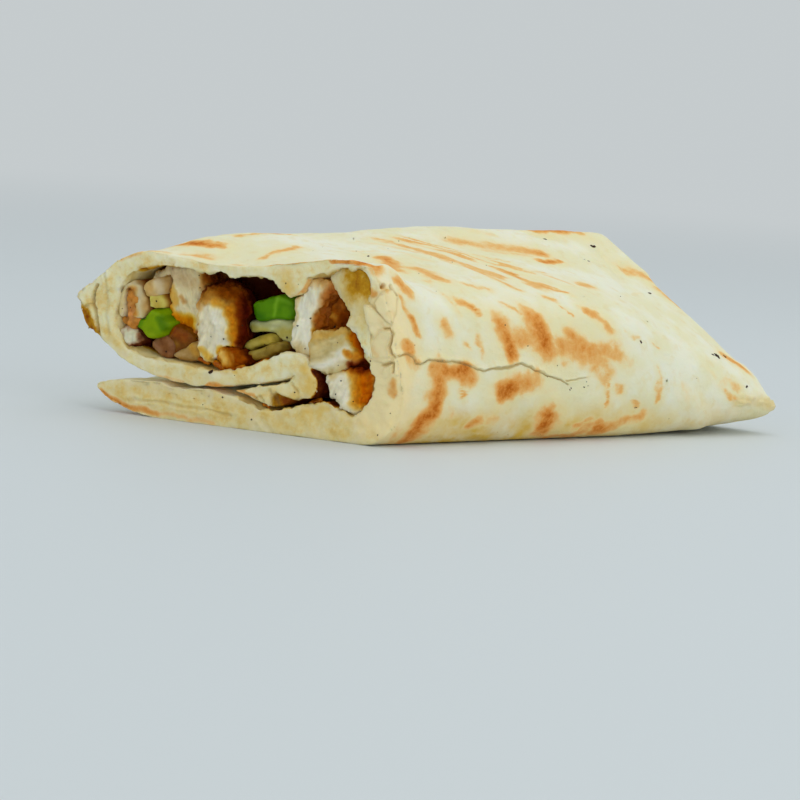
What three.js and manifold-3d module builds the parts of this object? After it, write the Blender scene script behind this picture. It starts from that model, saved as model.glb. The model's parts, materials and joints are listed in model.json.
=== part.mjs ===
// One half of a chicken wrap, cut across on the slant and lying on its flat side.
// Millimetres. X runs along the roll from the cut to the folded end, Y from the near side to the
// far side, Z up. A point of the food is given as (c, z, d): c along the slanted cut from the near
// side, z above the table, d along the roll from the cut.
import * as THREE from 'three';
import Module from 'manifold-3d';

const wasm = await Module();
wasm.setup();

// ---- driving sizes ----
const CUT_SLANT = 28 * Math.PI / 180;
const CUT_WIDTH = 79.5;
const NEAR_LENGTH = 115.5;
const CREST_END = 97.5;
const CREST_ACROSS = 52;
const CREST_HEIGHT = 44.8;
const END_BULGE = 2.3;
const TIP_LIFT = 4;
const TIP_THICK = 4.5;
const TIP_WIDTH = 24;
const FAR_END_HEIGHT = 9;
const FAR_NARROWING = 0.06;
const NARROWS_FROM = 40;
const END_DISH = 3;
// Rings that close the end inside its rim: their size, and their share of the dish.
const END_RINGS = [[0.9, 0.25], [0.6, 1]];
const POCKET_END = 0.8;
const GAP = 0.4;
const ROOM_FRONT = -1;
const CORE_FRONT = 19;
const OUTLINE_STEPS = 2;
const FINEST_DETAIL = 0.08;

// Where along the roll, as shares of its length, its height changes from one table to the next,
// where it starts to close toward the end, and how late the top and the tip take that up.
const SETTLED_AT = 0.17;
const RISES_FROM = 0.28;
const RISEN_AT = 0.72;
const CLOSES_FROM = 0.58;
const TOP_BOW = 1.3;
const TIP_BOW = 1.6;

// Height of the roll as [across, height]: at the cut, two centimetres in, and past the middle.
const TOP_AT_CUT = [
  [0, 18], [4, 29], [9, 38.6], [14, 39.3], [20, 38.8], [28, 37.2], [37, 35.8], [45, 35.4],
  [53, 35.9], [60, 36.6], [65, 36.4], [70, 34.4], [75, 29.6], [80, 23],
];
const TOP_INSIDE = [
  [0, 18.5], [4, 26.5], [9, 31.5], [14, 33.8], [20, 35.6], [28, 37.4], [37, 38.9], [45, 40],
  [53, 41.2], [60, 41.9], [65, 41.4], [70, 39], [75, 34], [80, 26],
];
const TOP_PAST_MIDDLE = [
  [0, 18], [4, 25], [9, 29.8], [14, 32.6], [20, 35], [28, 37.4], [37, 40], [45, 42.2],
  [53, 44.2], [60, 45], [65, 44], [70, 40.6], [75, 34.5], [80, 26],
];

// Outline of the whole roll at the cut.
const OUTSIDE = [
  [8, 0], [20, 0], [34, 0], [48, 0], [60, 0], [66, 1.2], [71, 3], [74.3, 5.3], [73.5, 6.4],
  [70.5, 7.6], [70.2, 10.5], [72.5, 13.2], [75.3, 16.4], [78.2, 20], [79.5, 24], [78.4, 26.8],
  [75.6, 29.4], [73, 32], [70, 34.4], [65, 36.5], [60, 36.7], [53, 36], [45, 35.4], [37, 35.9],
  [28, 37.2], [20, 38.8], [13, 39.4], [9.3, 38.6], [6.4, 35], [4, 30], [2.2, 24.5], [0.9, 19],
  [0.1, 13.5], [0.3, 8.5], [1.5, 4.2], [4, 1.2],
];

// The space the sheet rolls around: over the loose bottom flap, round the filling, round the
// turned-in edge, up its crease and out again under the roll.
const FLAP_TOP = [
  [77, 9.5], [74.6, 6.9], [72, 7.2], [66, 7.8], [60, 8], [57.6, 8.2], [55.7, 7.2], [50, 7.5],
  [46, 7.9], [42.5, 7.3], [39, 6.9], [36, 6], [33.2, 5], [30.2, 4.1], [27.6, 4.6], [24, 5.6],
];
const FILLING_WALL = [
  [20.4, 7.2], [19.4, 7.9], [18, 8.6], [16.4, 8.3], [14.4, 6.9], [11.5, 5.9], [8.5, 7],
  [6.4, 9.8], [5.2, 14.4], [6.6, 17.5], [7.4, 22], [8.2, 26], [8.9, 30.5], [8.2, 33], [8.8, 36],
  [11, 36.6], [15, 36.4], [20, 35.8], [23.6, 34.4], [24.9, 31.6], [26.2, 30.4], [27.8, 30.3],
  [29.4, 31.3], [30.6, 32.5], [32.4, 33.5], [35, 33.8], [38, 33.5], [40.5, 32.9], [42.2, 32.8],
  [43.8, 33.5], [45.8, 33.8], [48, 33.3], [51, 33.5], [54.5, 33.9], [60.4, 33.8], [64.4, 32.6],
  [67.3, 31.2], [69.2, 29], [70.4, 26], [70.7, 21.4], [70, 18], [67.6, 15.1], [65, 13.9],
  [61, 13.1], [56.9, 12.9], [52, 12.6], [45.5, 12], [40.3, 12.7], [36.5, 14], [33.2, 15.6],
  [30, 17.2], [27.2, 18.2], [24.6, 18.2], [22.6, 17], [21.4, 15], [19.8, 12.6], [19.6, 10.4],
];
const TURNED_EDGE = [
  [20.8, 8.8], [23.2, 8.3], [25.4, 7.2], [27.6, 6.2], [30, 5.6], [31.6, 6.2], [33.8, 6.7],
  [36, 7.5], [38.7, 8], [39.2, 8.6], [36, 9.3], [33, 9.9], [28, 11.2], [25, 12.6], [24.8, 13.2],
  [28, 11.9], [33, 10.6], [37, 9.9], [40.5, 9.1], [45, 8.6], [50, 8.2], [55, 8.6], [60.4, 9.5],
  [65, 10.8], [68.3, 12.2], [72, 14.8], [75.6, 17.6], [79.5, 18.6], [81, 14],
];

// ---- the pieces of filling at the cut ----
// front: how far behind the cut the piece begins; deep: its length along the roll; lean: how far
// its back end has moved from its front. A piece makes room for the ones listed before it.
const PIECES = [
  { name: 'chicken_centre', colour: 0xe3c3a2, front: 1.5, deep: 13, lean: [6, 0.5],
    edge: [[50.6, 26.9], [48.5, 29], [44.2, 30.3], [41.2, 29.2], [40.1, 27], [39.8, 22.9],
      [39.8, 18.8], [41.9, 17.2], [45.1, 17], [45.9, 14.4], [49, 14.4], [50, 17.7],
      [50.4, 21.9]] },
  { name: 'chicken_strip', colour: 0xe8d2bb, front: 2, deep: 17, lean: [0.5, -0.5],
    edge: [[26.9, 33.2], [24.4, 34], [22, 34.6], [19.6, 34.4], [19.2, 32.8], [21.3, 30.4],
      [22.5, 26.5], [22.8, 21.9], [22.4, 18.6], [24.6, 17.6], [26.8, 18.6], [27.8, 21],
      [27.6, 25], [27.5, 29]] },
  { name: 'chicken_low', colour: 0xe6c9a8, front: 1.5, deep: 16, lean: [0, 1],
    edge: [[18.7, 13.9], [15.9, 15.2], [13.4, 15.9], [10.4, 16.2], [8.3, 15.2], [7.2, 13],
      [7.7, 10.7], [8.6, 8.7], [11.1, 7.3], [13.2, 7.3], [15.4, 8.6], [17.1, 10.2],
      [17.8, 11.9]] },
  { name: 'chicken_right', colour: 0xe2c4a4, front: 2.5, deep: 16, lean: [0, 0.5],
    edge: [[21.6, 22.4], [18.2, 23.4], [14.9, 24.7], [13, 23.7], [11.4, 21.8], [10.6, 20.2],
      [9.8, 18.9], [11.8, 17.7], [14.8, 16.6], [17.5, 15.3], [20.1, 14.6], [22, 16],
      [22.3, 19.4]] },
  { name: 'chicken_stub', colour: 0xdfb98f, front: 1, deep: 9, lean: [0, 0],
    edge: [[44.8, 16.2], [43, 16.9], [40.4, 16.6], [39.2, 14.9], [41.2, 13.4], [43.8, 13.3]] },
  { name: 'onion_ring', colour: 0xe3dcc0, front: 1, deep: 9, lean: [-1, 0],
    edge: [[70, 21.6], [70.2, 24.6], [70, 27.2], [69.3, 28.8], [68, 29.6], [66.6, 29.3],
      [65.4, 28], [64.5, 26.2], [63.9, 24.2], [64.1, 22.6], [65.4, 21.2], [66.3, 21.8],
      [65.4, 23.4], [65.7, 25], [66.4, 26.9], [67.3, 28.1], [68.2, 28], [68.7, 26.6],
      [68.8, 24.4], [68.9, 21.6]] },
  { name: 'chicken_far', colour: 0xd9a981, front: 2, deep: 13, lean: [-1, 0],
    edge: [[69.6, 20.6], [68.6, 23], [68.2, 27.2], [67, 26.6], [65.9, 24], [66.9, 22],
      [66.4, 20.2], [68, 19.4]] },
  { name: 'chicken_chip', colour: 0xe9ddd0, front: 1.5, deep: 8, lean: [0, 0],
    edge: [[69.4, 17.6], [67.9, 19.3], [66, 18.6], [65, 16.9], [66.4, 15.1], [68, 15.6]] },
  { name: 'pepper_left', colour: 0x63b52a, front: 3, deep: 10, lean: [0.5, 0],
    edge: [[67, 20], [65.4, 23.4], [61.1, 23.4], [60.4, 22], [58.9, 20.8], [59.4, 19.1],
      [61.3, 17.4], [63.7, 17.4], [65, 18.8]] },
  { name: 'pepper_mid', colour: 0x57ad24, front: 4.5, deep: 10, lean: [0, 0],
    edge: [[40.4, 27], [38.2, 27.7], [33.9, 29.6], [30.4, 29], [29.8, 27.1], [30.1, 25],
      [34.8, 24.4], [37.1, 23.7], [39.4, 23.3]] },
  { name: 'onion_chip', colour: 0xe0dca0, front: 3.6, deep: 8, lean: [0, 0],
    edge: [[65.4, 23.9], [64.6, 25.4], [63.1, 26.7], [61.6, 25.6], [61.2, 23.9]] },
  { name: 'onion_tall', colour: 0xd6c494, front: 2.6, deep: 9, lean: [-0.5, 0],
    edge: [[65, 28.2], [63.6, 30.4], [61.6, 30.2], [61.8, 26.8], [62.8, 26.4], [63.8, 26.2]] },
  { name: 'onion_pink', colour: 0xc9a79a, front: 3.5, deep: 9, lean: [0, 0],
    edge: [[63.5, 16.1], [61.2, 17.6], [59.7, 17], [58.5, 15.8], [59.1, 13.8], [61, 13.8],
      [62.4, 14.8]] },
  { name: 'onion_brown', colour: 0xb98a4c, front: 4, deep: 9, lean: [0, 0],
    edge: [[60.4, 17.8], [58.8, 20], [57, 19.4], [54, 18.2], [53.8, 16.6], [56.7, 14.9],
      [58.7, 14.4], [59.6, 16]] },
  { name: 'onion_low', colour: 0xcdb385, front: 3, deep: 9, lean: [0, 0],
    edge: [[57.8, 13.9], [55, 15.5], [53, 17.2], [51, 17.2], [50.6, 14.6], [53.6, 13.4]] },
  { name: 'onion_mid', colour: 0xd9d9a4, front: 5.5, deep: 10, lean: [0, 0],
    edge: [[41.8, 22.6], [39.4, 23], [36.4, 24], [31.4, 24.4], [29.8, 23], [30.2, 20],
      [33, 19.8], [35, 21.2], [38.6, 21.2], [41.2, 20.7]] },
  { name: 'onion_strip_upper', colour: 0xc3b878, front: 4.5, deep: 9, lean: [0, 0],
    edge: [[42.4, 17.2], [40, 19.2], [37.3, 20.3], [34.6, 20.6], [34.4, 19.2], [36.3, 18.6],
      [39.1, 17.7], [40.8, 16], [41.8, 15.6]] },
  { name: 'onion_strip_lower', colour: 0xc9bd84, front: 3.5, deep: 9, lean: [0, 0],
    edge: [[40, 16.3], [36.5, 17.6], [34.7, 18.7], [31.6, 19.7], [31.4, 18.2], [34.8, 16.4],
      [37.5, 15.2], [40.2, 14.7]] },
  { name: 'chicken_back', colour: 0xdcb994, front: 5.5, deep: 12, lean: [0, 0],
    edge: [[66.4, 30], [63.8, 32.2], [59.6, 33.3], [53.4, 32.9], [52.8, 30.4], [53, 24],
      [53.2, 18.6], [55.4, 18], [58.6, 18.8], [60.1, 20.2], [62.7, 22], [63.7, 26.4],
      [65, 28.7]] },
  { name: 'chicken_brown', colour: 0xc98f62, front: 6, deep: 12, lean: [0, 0],
    edge: [[22.6, 32.4], [20.6, 31.4], [18.6, 29.4], [17.2, 27], [17.4, 24.8], [21.3, 23],
      [25.4, 21.6], [26.4, 24], [25.4, 28.8], [24.5, 30.6]] },
];

// ---- small tools ----
function ease(a, b, x) {
  const t = Math.min(1, Math.max(0, (x - a) / (b - a)));
  return t * t * (3 - 2 * t);
}

function heightAt(table, c) {
  let i = 0;
  while (i < table.length - 2 && c > table[i + 1][0]) {
    i += 1;
  }
  const [c0, h0] = table[i];
  const [c1, h1] = table[i + 1];
  return h0 + (h1 - h0) * (c - c0) / (c1 - c0);
}

function counterClockwise(outline) {
  const turning = outline.reduce((sum, p, i) => {
    const q = outline[(i + 1) % outline.length];
    return sum + p[0] * q[1] - q[0] * p[1];
  }, 0);
  return turning > 0 ? outline.slice() : outline.slice().reverse();
}

// Rounds a closed outline by passing a smooth curve through it.
function roundOutline(outline, steps) {
  const n = outline.length;
  const out = [];
  for (let i = 0; i < n; i += 1) {
    const [a, b, c, d] = [-1, 0, 1, 2].map((k) => outline[(i + k + n) % n]);
    for (let j = 0; j < steps; j += 1) {
      const t = j / steps;
      const at = (k) => 0.5 * (2 * b[k] + (c[k] - a[k]) * t
        + (2 * a[k] - 5 * b[k] + 4 * c[k] - d[k]) * t * t
        + (3 * b[k] - a[k] - 3 * c[k] + d[k]) * t * t * t);
      out.push([at(0), at(1)]);
    }
  }
  return out;
}

// Moves every side of a counter-clockwise outline outward by a distance (inward if negative).
function offsetOutline(outline, distance) {
  const n = outline.length;
  return outline.map((p, i) => {
    const before = outline[(i + n - 1) % n];
    const after = outline[(i + 1) % n];
    const along = new THREE.Vector2(after[0] - before[0], after[1] - before[1]).normalize();
    return [p[0] + along.y * distance, p[1] - along.x * distance];
  });
}

// ---- how the roll changes along its length ----
function endX(c) {
  const toCrest = Math.min(Math.max(c / CREST_ACROSS, 0), 1);
  return NEAR_LENGTH + (CREST_END - NEAR_LENGTH) * toCrest + END_BULGE * Math.sin(Math.PI * toCrest);
}

function rollLength(c) {
  return endX(c) + c * Math.sin(CUT_SLANT);
}

function tipLift(c) {
  return TIP_LIFT * (1 - ease(0, TIP_WIDTH, c));
}

function endTop(c) {
  const tipTop = TIP_LIFT + TIP_THICK;
  const rise = tipTop + (CREST_HEIGHT - tipTop) * Math.min(c / CREST_ACROSS, 1);
  const fall = ease(CREST_ACROSS, CUT_WIDTH + TIP_LIFT, c) * (CREST_HEIGHT - FAR_END_HEIGHT);
  return rise - fall - tipLift(c);
}

// Where the point (c, z) of the cut outline has moved to at the fraction s of the roll's length.
function place(c, z, s) {
  const across = Math.min(Math.max(c, 0), CUT_WIDTH);
  const closing = Math.min(1, Math.max(0, (s - CLOSES_FROM) / (1 - CLOSES_FROM)));
  const toEnd = Math.pow(closing, TOP_BOW);
  const cutTop = heightAt(TOP_AT_CUT, across);
  const insideTop = heightAt(TOP_INSIDE, across);
  const farTop = heightAt(TOP_PAST_MIDDLE, across);
  const bodyTop = cutTop + (insideTop - cutTop) * ease(0, SETTLED_AT, s)
    + (farTop - insideTop) * ease(RISES_FROM, RISEN_AT, s);
  const top = bodyTop + (endTop(across) - bodyTop) * toEnd;
  const lift = tipLift(across) * Math.pow(toEnd, TIP_BOW);
  const narrowing = 1 - FAR_NARROWING * toEnd * ease(NARROWS_FROM, CUT_WIDTH, across);
  return new THREE.Vector3(
    -c * Math.sin(CUT_SLANT) + s * rollLength(across),
    c * Math.cos(CUT_SLANT) * narrowing,
    z * top / cutTop + lift,
  );
}

// ---- solids ----
// Joins a row of rings, each counter-clockwise seen from +X, into one closed body.
function loft(rings) {
  const n = rings[0].length;
  const points = rings.flat().flatMap((p) => [p.x, p.y, p.z]);
  const faces = [];
  for (let i = 0; i < rings.length - 1; i += 1) {
    for (let j = 0; j < n; j += 1) {
      const a = i * n + j;
      const b = i * n + (j + 1) % n;
      faces.push(a, b, b + n, a, b + n, a + n);
    }
  }
  const flat = (ring) => ring.map((p) => new THREE.Vector2(p.y, p.z));
  for (const [a, b, c] of THREE.ShapeUtils.triangulateShape(flat(rings[0]), [])) {
    faces.push(a, c, b);
  }
  const last = (rings.length - 1) * n;
  for (const [a, b, c] of THREE.ShapeUtils.triangulateShape(flat(rings[rings.length - 1]), [])) {
    faces.push(last + a, last + b, last + c);
  }
  return new wasm.Manifold(new wasm.Mesh({
    numProp: 3,
    vertProperties: new Float32Array(points),
    triVerts: new Uint32Array(faces),
  }));
}

function loftAlong(outline, stations) {
  return loft(stations.map((s) => outline.map(([c, z]) => place(c, z, s))));
}

// The whole roll, with its end tucked in as a shallow dish.
function wholeRoll() {
  const stations = [
    0, 0.03, 0.07, 0.12, 0.18, 0.26, 0.36, 0.46, 0.56, 0.64, 0.72, 0.8, 0.87, 0.94, 1,
  ];
  const outline = roundOutline(OUTSIDE, OUTLINE_STEPS).map(([c, z]) => [c, Math.max(z, 0)]);
  const rings = stations.map((s) => outline.map(([c, z]) => place(c, z, s)));
  const rim = rings[rings.length - 1];
  const middle = rim.reduce((sum, p) => sum.add(p), new THREE.Vector3()).divideScalar(rim.length);
  for (const [size, dish] of END_RINGS) {
    rings.push(rim.map((p) => {
      const q = middle.clone().lerp(p, size);
      q.x -= END_DISH * dish;
      return q;
    }));
  }
  return loft(rings);
}

function rolledSpace() {
  const outline = counterClockwise([...FLAP_TOP, ...FILLING_WALL, ...TURNED_EDGE]);
  const stations = [-0.03, 0.02, 0.07, 0.12, 0.18, 0.3, 0.45, 0.6, 0.7, POCKET_END];
  return loftAlong(outline, stations);
}

// The room for the filling, kept a little clear of the sheet.
function fillingRoom(from) {
  const wall = new wasm.CrossSection([counterClockwise(FILLING_WALL)]);
  const [outline] = wall.offset(-GAP, 'Miter').toPolygons();
  const steps = [0, 0.1, 0.2, 0.35, 0.55, 0.7, 0.85, 1];
  return loft(steps.map((t) => outline.map(([c, z]) => {
    const start = from / rollLength(c);
    const end = POCKET_END - 2 * GAP / rollLength(c);
    return place(c, z, start + (end - start) * t);
  })));
}

// A lump of filling: its outline at the cut, swollen in the middle and rounded at the back. Its
// sides ripple a little, except at the cut face.
const LUMP_PROFILE = [[0, 0.9], [0.12, 1], [0.62, 1.01], [1, 0.68]];
const RIPPLE = 0.035;
const RIPPLE_ROUND = 2.3;
const RIPPLE_ALONG = 9;

function lump(piece, grow) {
  const ring = offsetOutline(roundOutline(counterClockwise(piece.edge), OUTLINE_STEPS), grow);
  const middle = [0, 1].map((k) => ring.reduce((sum, p) => sum + p[k], 0) / ring.length);
  return loft(LUMP_PROFILE.map(([t, size], station) => ring.map((p, i) => {
    const wave = station > 0 ? RIPPLE * Math.sin(RIPPLE_ROUND * i + RIPPLE_ALONG * t) : 0;
    const reach = size * (1 + wave);
    const c = middle[0] + (p[0] - middle[0]) * reach + piece.lean[0] * t;
    const z = middle[1] + (p[1] - middle[1]) * reach + piece.lean[1] * t;
    const d = piece.front - grow + t * (piece.deep + 2 * grow);
    return place(c, z, d / rollLength(c));
  })));
}

function largest(solid) {
  const parts = solid.decompose();
  return parts.reduce((best, part) => (part.volume() > best.volume() ? part : best));
}

// ---- assembly ----
const solids = new Map();
const room = fillingRoom(ROOM_FRONT);
const space = rolledSpace();
const whole = wholeRoll();
solids.set('flatbread', { solid: largest(whole.subtract(space)), colour: 0xf1e9c9 });

PIECES.forEach((piece, i) => {
  let solid = lump(piece, 0).intersect(room);
  for (const other of PIECES.slice(0, i)) {
    solid = solid.subtract(lump(other, GAP));
  }
  solids.set(piece.name, { solid: largest(solid), colour: piece.colour });
});

let core = fillingRoom(CORE_FRONT);
for (const piece of PIECES) {
  core = core.subtract(lump(piece, GAP));
}
solids.set('filling_core', { solid: largest(core), colour: 0x8a4a24 });

const flat = solids.get('flatbread').solid.boundingBox();
const centre = new THREE.Vector3(
  -(flat.min[0] + flat.max[0]) / 2,
  -(flat.min[1] + flat.max[1]) / 2,
  -flat.min[2],
);

const wrap = new THREE.Group();
wrap.name = 'chicken_wrap_half';
for (const [name, { solid, colour }] of solids) {
  const finished = solid.simplify(FINEST_DETAIL).translate([centre.x, centre.y, centre.z]);
  const mesh = finished.getMesh();
  const geometry = new THREE.BufferGeometry();
  geometry.setAttribute('position', new THREE.BufferAttribute(mesh.vertProperties, 3));
  geometry.setIndex(new THREE.BufferAttribute(mesh.triVerts, 1));
  geometry.computeVertexNormals();
  const material = new THREE.MeshStandardMaterial({ color: colour, roughness: 0.7 });
  material.name = name;
  const node = new THREE.Mesh(geometry, material);
  node.name = name;
  wrap.add(node);
}

export default wrap;
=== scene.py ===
import json
import math
import random

import bmesh
import bpy
import numpy as np
from mathutils import Matrix, Vector
from mathutils.kdtree import KDTree

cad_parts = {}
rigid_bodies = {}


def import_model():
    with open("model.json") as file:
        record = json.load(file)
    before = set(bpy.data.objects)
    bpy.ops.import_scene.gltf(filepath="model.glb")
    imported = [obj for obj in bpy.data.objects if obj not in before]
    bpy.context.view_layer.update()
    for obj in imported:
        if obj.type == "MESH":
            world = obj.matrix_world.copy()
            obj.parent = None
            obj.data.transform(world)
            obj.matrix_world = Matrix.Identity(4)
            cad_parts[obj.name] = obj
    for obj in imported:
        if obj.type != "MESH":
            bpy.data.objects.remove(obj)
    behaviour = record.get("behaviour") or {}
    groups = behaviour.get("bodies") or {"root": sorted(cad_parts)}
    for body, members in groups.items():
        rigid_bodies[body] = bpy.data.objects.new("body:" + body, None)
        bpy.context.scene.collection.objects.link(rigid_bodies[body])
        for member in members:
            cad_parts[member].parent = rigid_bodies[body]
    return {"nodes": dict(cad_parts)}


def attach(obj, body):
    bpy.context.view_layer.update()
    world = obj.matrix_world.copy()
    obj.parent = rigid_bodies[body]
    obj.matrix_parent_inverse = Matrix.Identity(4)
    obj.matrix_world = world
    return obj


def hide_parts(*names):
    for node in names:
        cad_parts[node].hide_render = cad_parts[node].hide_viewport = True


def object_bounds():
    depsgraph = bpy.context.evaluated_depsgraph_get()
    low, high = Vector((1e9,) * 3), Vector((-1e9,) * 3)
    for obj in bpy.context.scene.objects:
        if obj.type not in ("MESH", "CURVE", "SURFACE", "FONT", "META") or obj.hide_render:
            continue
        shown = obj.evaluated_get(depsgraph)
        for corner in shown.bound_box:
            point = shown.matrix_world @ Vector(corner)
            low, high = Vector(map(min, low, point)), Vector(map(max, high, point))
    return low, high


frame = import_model()
cad_low, cad_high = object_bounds()
MM = 0.001

# ---- Flatbread ----
# A soft white flatbread, about 3 mm thick, toasted on a griddle until it blistered brown in
# spots, rolled with its loose edge underneath and sliced through on the slant.
CUT_SLANT = math.radians(28)
CUT_WIDTH = 79.5 * MM
# The roll in section, in millimetres: how high its axis lies, how far it reaches from there to
# the side and up, and the circle on which distances round the skin are counted.
ROLL_AXIS_HEIGHT = 20
ROLL_HALF_WIDTH = 33
ROLL_HALF_HEIGHT = 19
GIRTH_RADIUS = 32
GIRTH_CENTRE_HEIGHT = 12

near_corner = Vector((cad_low.x + CUT_WIDTH * math.sin(CUT_SLANT), cad_low.y, 0))
cut_normal = np.array([-math.cos(CUT_SLANT), -math.sin(CUT_SLANT), 0])
along_cut = np.array([-math.sin(CUT_SLANT), math.cos(CUT_SLANT), 0])


def cut_places(points):
    """Millimetres across the cut, above the table and behind the cut, for each point."""
    away = (points - np.array(near_corner)) / MM
    behind = away[:, 0] + away[:, 1] * math.tan(CUT_SLANT)
    return away[:, 1] / math.cos(CUT_SLANT), away[:, 2], behind


def girth_places(points):
    """How far round the roll each point lies, in millimetres up from the near side's bulge."""
    across = -points[:, 1] / MM
    height = points[:, 2] / MM - GIRTH_CENTRE_HEIGHT
    return GIRTH_RADIUS * np.arctan2(height, across)


def out_from_axis(sideways, height):
    """How far out each place lies: 0 on the roll's axis and about 1 at its skin."""
    return np.hypot(sideways / ROLL_HALF_WIDTH, (height - ROLL_AXIS_HEIGHT) / ROLL_HALF_HEIGHT)


def crumple(points, size, seed):
    """Smooth noise from -1 to 1 with bumps of the given size, the same on every run."""
    scaled = points / size + seed * 17.31
    cell = np.floor(scaled).astype(np.int64)
    inside = scaled - cell
    fade = inside * inside * inside * (inside * (inside * 6 - 15) + 10)
    total = np.zeros(len(points))
    for corner in np.ndindex(2, 2, 2):
        # Each corner's value is its whole-number place, thoroughly mixed up.
        spot = cell + np.array(corner)
        mixed = spot[:, 0] * 73856093 ^ spot[:, 1] * 19349663 ^ spot[:, 2] * 83492791
        mixed = (mixed ^ (mixed >> 13)) * 1274126177 & 0x7FFFFFFF
        value = (mixed ^ (mixed >> 16)) % 65536 / 32767.5 - 1
        share = np.ones(len(points))
        for axis in range(3):
            share *= fade[:, axis] if corner[axis] else 1 - fade[:, axis]
        total += value * share
    return total


def bumps(points, *layers):
    """Adds up crumples, each given as (height, size in millimetres, seed)."""
    return sum(high * crumple(points, size * MM, seed) for high, size, seed in layers)


def step(low, high, values):
    """Turns gently from 0 at low to 1 at high, whichever of the two is the larger."""
    share = np.clip((values - low) / (high - low), 0, 1)
    return share * share * (3 - 2 * share)


def between(low, full_from, full_to, high, values):
    """1 between the two middle bounds, fading to 0 at the outer ones."""
    return step(low, full_from, values) * step(high, full_to, values)


def moves(ways, millimetres):
    """What each point moves by to go so many millimetres along its way."""
    return ways * (millimetres * MM)[:, None]


def path_gap(u, v, path):
    """Distance of each place (u, v) from a line drawn through the points of a path."""
    nearest = np.full(len(u), 1e9)
    for (u0, v0), (u1, v1) in zip(path[:-1], path[1:]):
        run = np.array([u1 - u0, v1 - v0], float)
        share = np.clip(((u - u0) * run[0] + (v - v0) * run[1]) / (run @ run), 0, 1)
        nearest = np.minimum(nearest, np.hypot(u - u0 - share * run[0], v - v0 - share * run[1]))
    return nearest


def vectors_in(rows, name):
    flat = np.zeros(len(rows) * 3)
    rows.foreach_get(name, flat)
    return flat.reshape(-1, 3)


def points_of(piece):
    return vectors_in(piece.data.vertices, "co")


def normals_of(piece):
    return vectors_in(piece.data.vertex_normals, "vector")


def move_points(piece, points):
    piece.data.vertices.foreach_set("co", points.astype(np.float32).ravel())
    piece.data.update()


def mark(piece, name, values):
    """Keeps one number a point on the mesh, for the material to read."""
    layer = piece.data.attributes.get(name) or piece.data.attributes.new(name, "FLOAT", "POINT")
    layer.data.foreach_set("value", np.clip(values, 0, 1).astype(np.float32))


def neighbours_mean(piece):
    """Gives a function that averages a number over each point's neighbours."""
    ends = np.zeros(len(piece.data.edges) * 2, np.int64)
    piece.data.edges.foreach_get("vertices", ends)
    a, b = ends.reshape(-1, 2).T
    size = len(piece.data.vertices)
    count = np.bincount(ends, minlength=size)

    def mean(values):
        return (np.bincount(a, values[b], size) + np.bincount(b, values[a], size)) / count

    return mean


def soften(piece, rounds, give=1.0):
    """Melts corners by moving each point to the middle of its neighbours, as far as it gives."""
    points = points_of(piece)
    mean = neighbours_mean(piece)
    share = 0.5 * np.reshape(give, (-1, 1))
    for _ in range(rounds):
        middle = np.stack([mean(points[:, axis]) for axis in range(3)], axis=1)
        points += share * (middle - points)
    move_points(piece, points)


def blurred(piece, values, rounds):
    """Evens a number out over the mesh by averaging it with its neighbours'."""
    mean = neighbours_mean(piece)
    for _ in range(rounds):
        values = 0.5 * values + 0.5 * mean(values)
    return values


def new_piece(name, mesh):
    piece = bpy.data.objects.new(name, mesh)
    bpy.context.scene.collection.objects.link(piece)
    return piece


def smooth_shaded(piece):
    piece.data.polygons.foreach_set("use_smooth", np.ones(len(piece.data.polygons), bool))


def inside_outline(u, v, outline):
    """How many millimetres each place (u, v) lies inside a closed outline, below zero outside."""
    within = np.zeros(len(u), bool)
    for (u0, v0), (u1, v1) in zip(outline, outline[1:] + outline[:1]):
        crosses = (v0 > v) != (v1 > v)
        within ^= crosses & (u < (u1 - u0) * (v - v0) / (v1 - v0 + 1e-12) + u0)
    gap = path_gap(u, v, outline + outline[:1])
    return np.where(within, gap, -gap)


# The tear that opened along the near side, with a branch near its end, as (behind the cut,
# round the roll), and the cracks and the hole in the dry rim, as (across the cut, height).
TEAR = [(0.6, 7.3), (2.6, 7.5), (4.9, 7.1), (5.6, 6.0), (7.3, 5.8), (9.1, 6.4), (13.4, 6.2),
        (16.8, 5.8), (20.6, 5.0), (23.4, 4.2), (29.3, 4.7), (34.5, 5.4), (36.7, 4.8), (40.2, 3.5),
        (48.4, 1.2)]
TEAR_BRANCH = [(47.5, 2.0), (53.4, 2.4)]
RIM_CRACKS = [
    [(3.8, 34.5), (3.1, 33.5), (2.2, 32.4)],
    [(4.3, 25.5), (2.9, 25.7), (2.2, 25.0), (2.4, 23.3), (2.5, 21.7), (1.8, 20.4), (1.1, 19.7)],
    [(3.7, 17.8), (2.2, 18.5), (1.4, 18.5), (1.4, 16.6)],
]
RIM_CRACK_HALF = 0.34
RIM_HOLE, RIM_HOLE_RADIUS = (5.3, 34.4), 0.6
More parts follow.
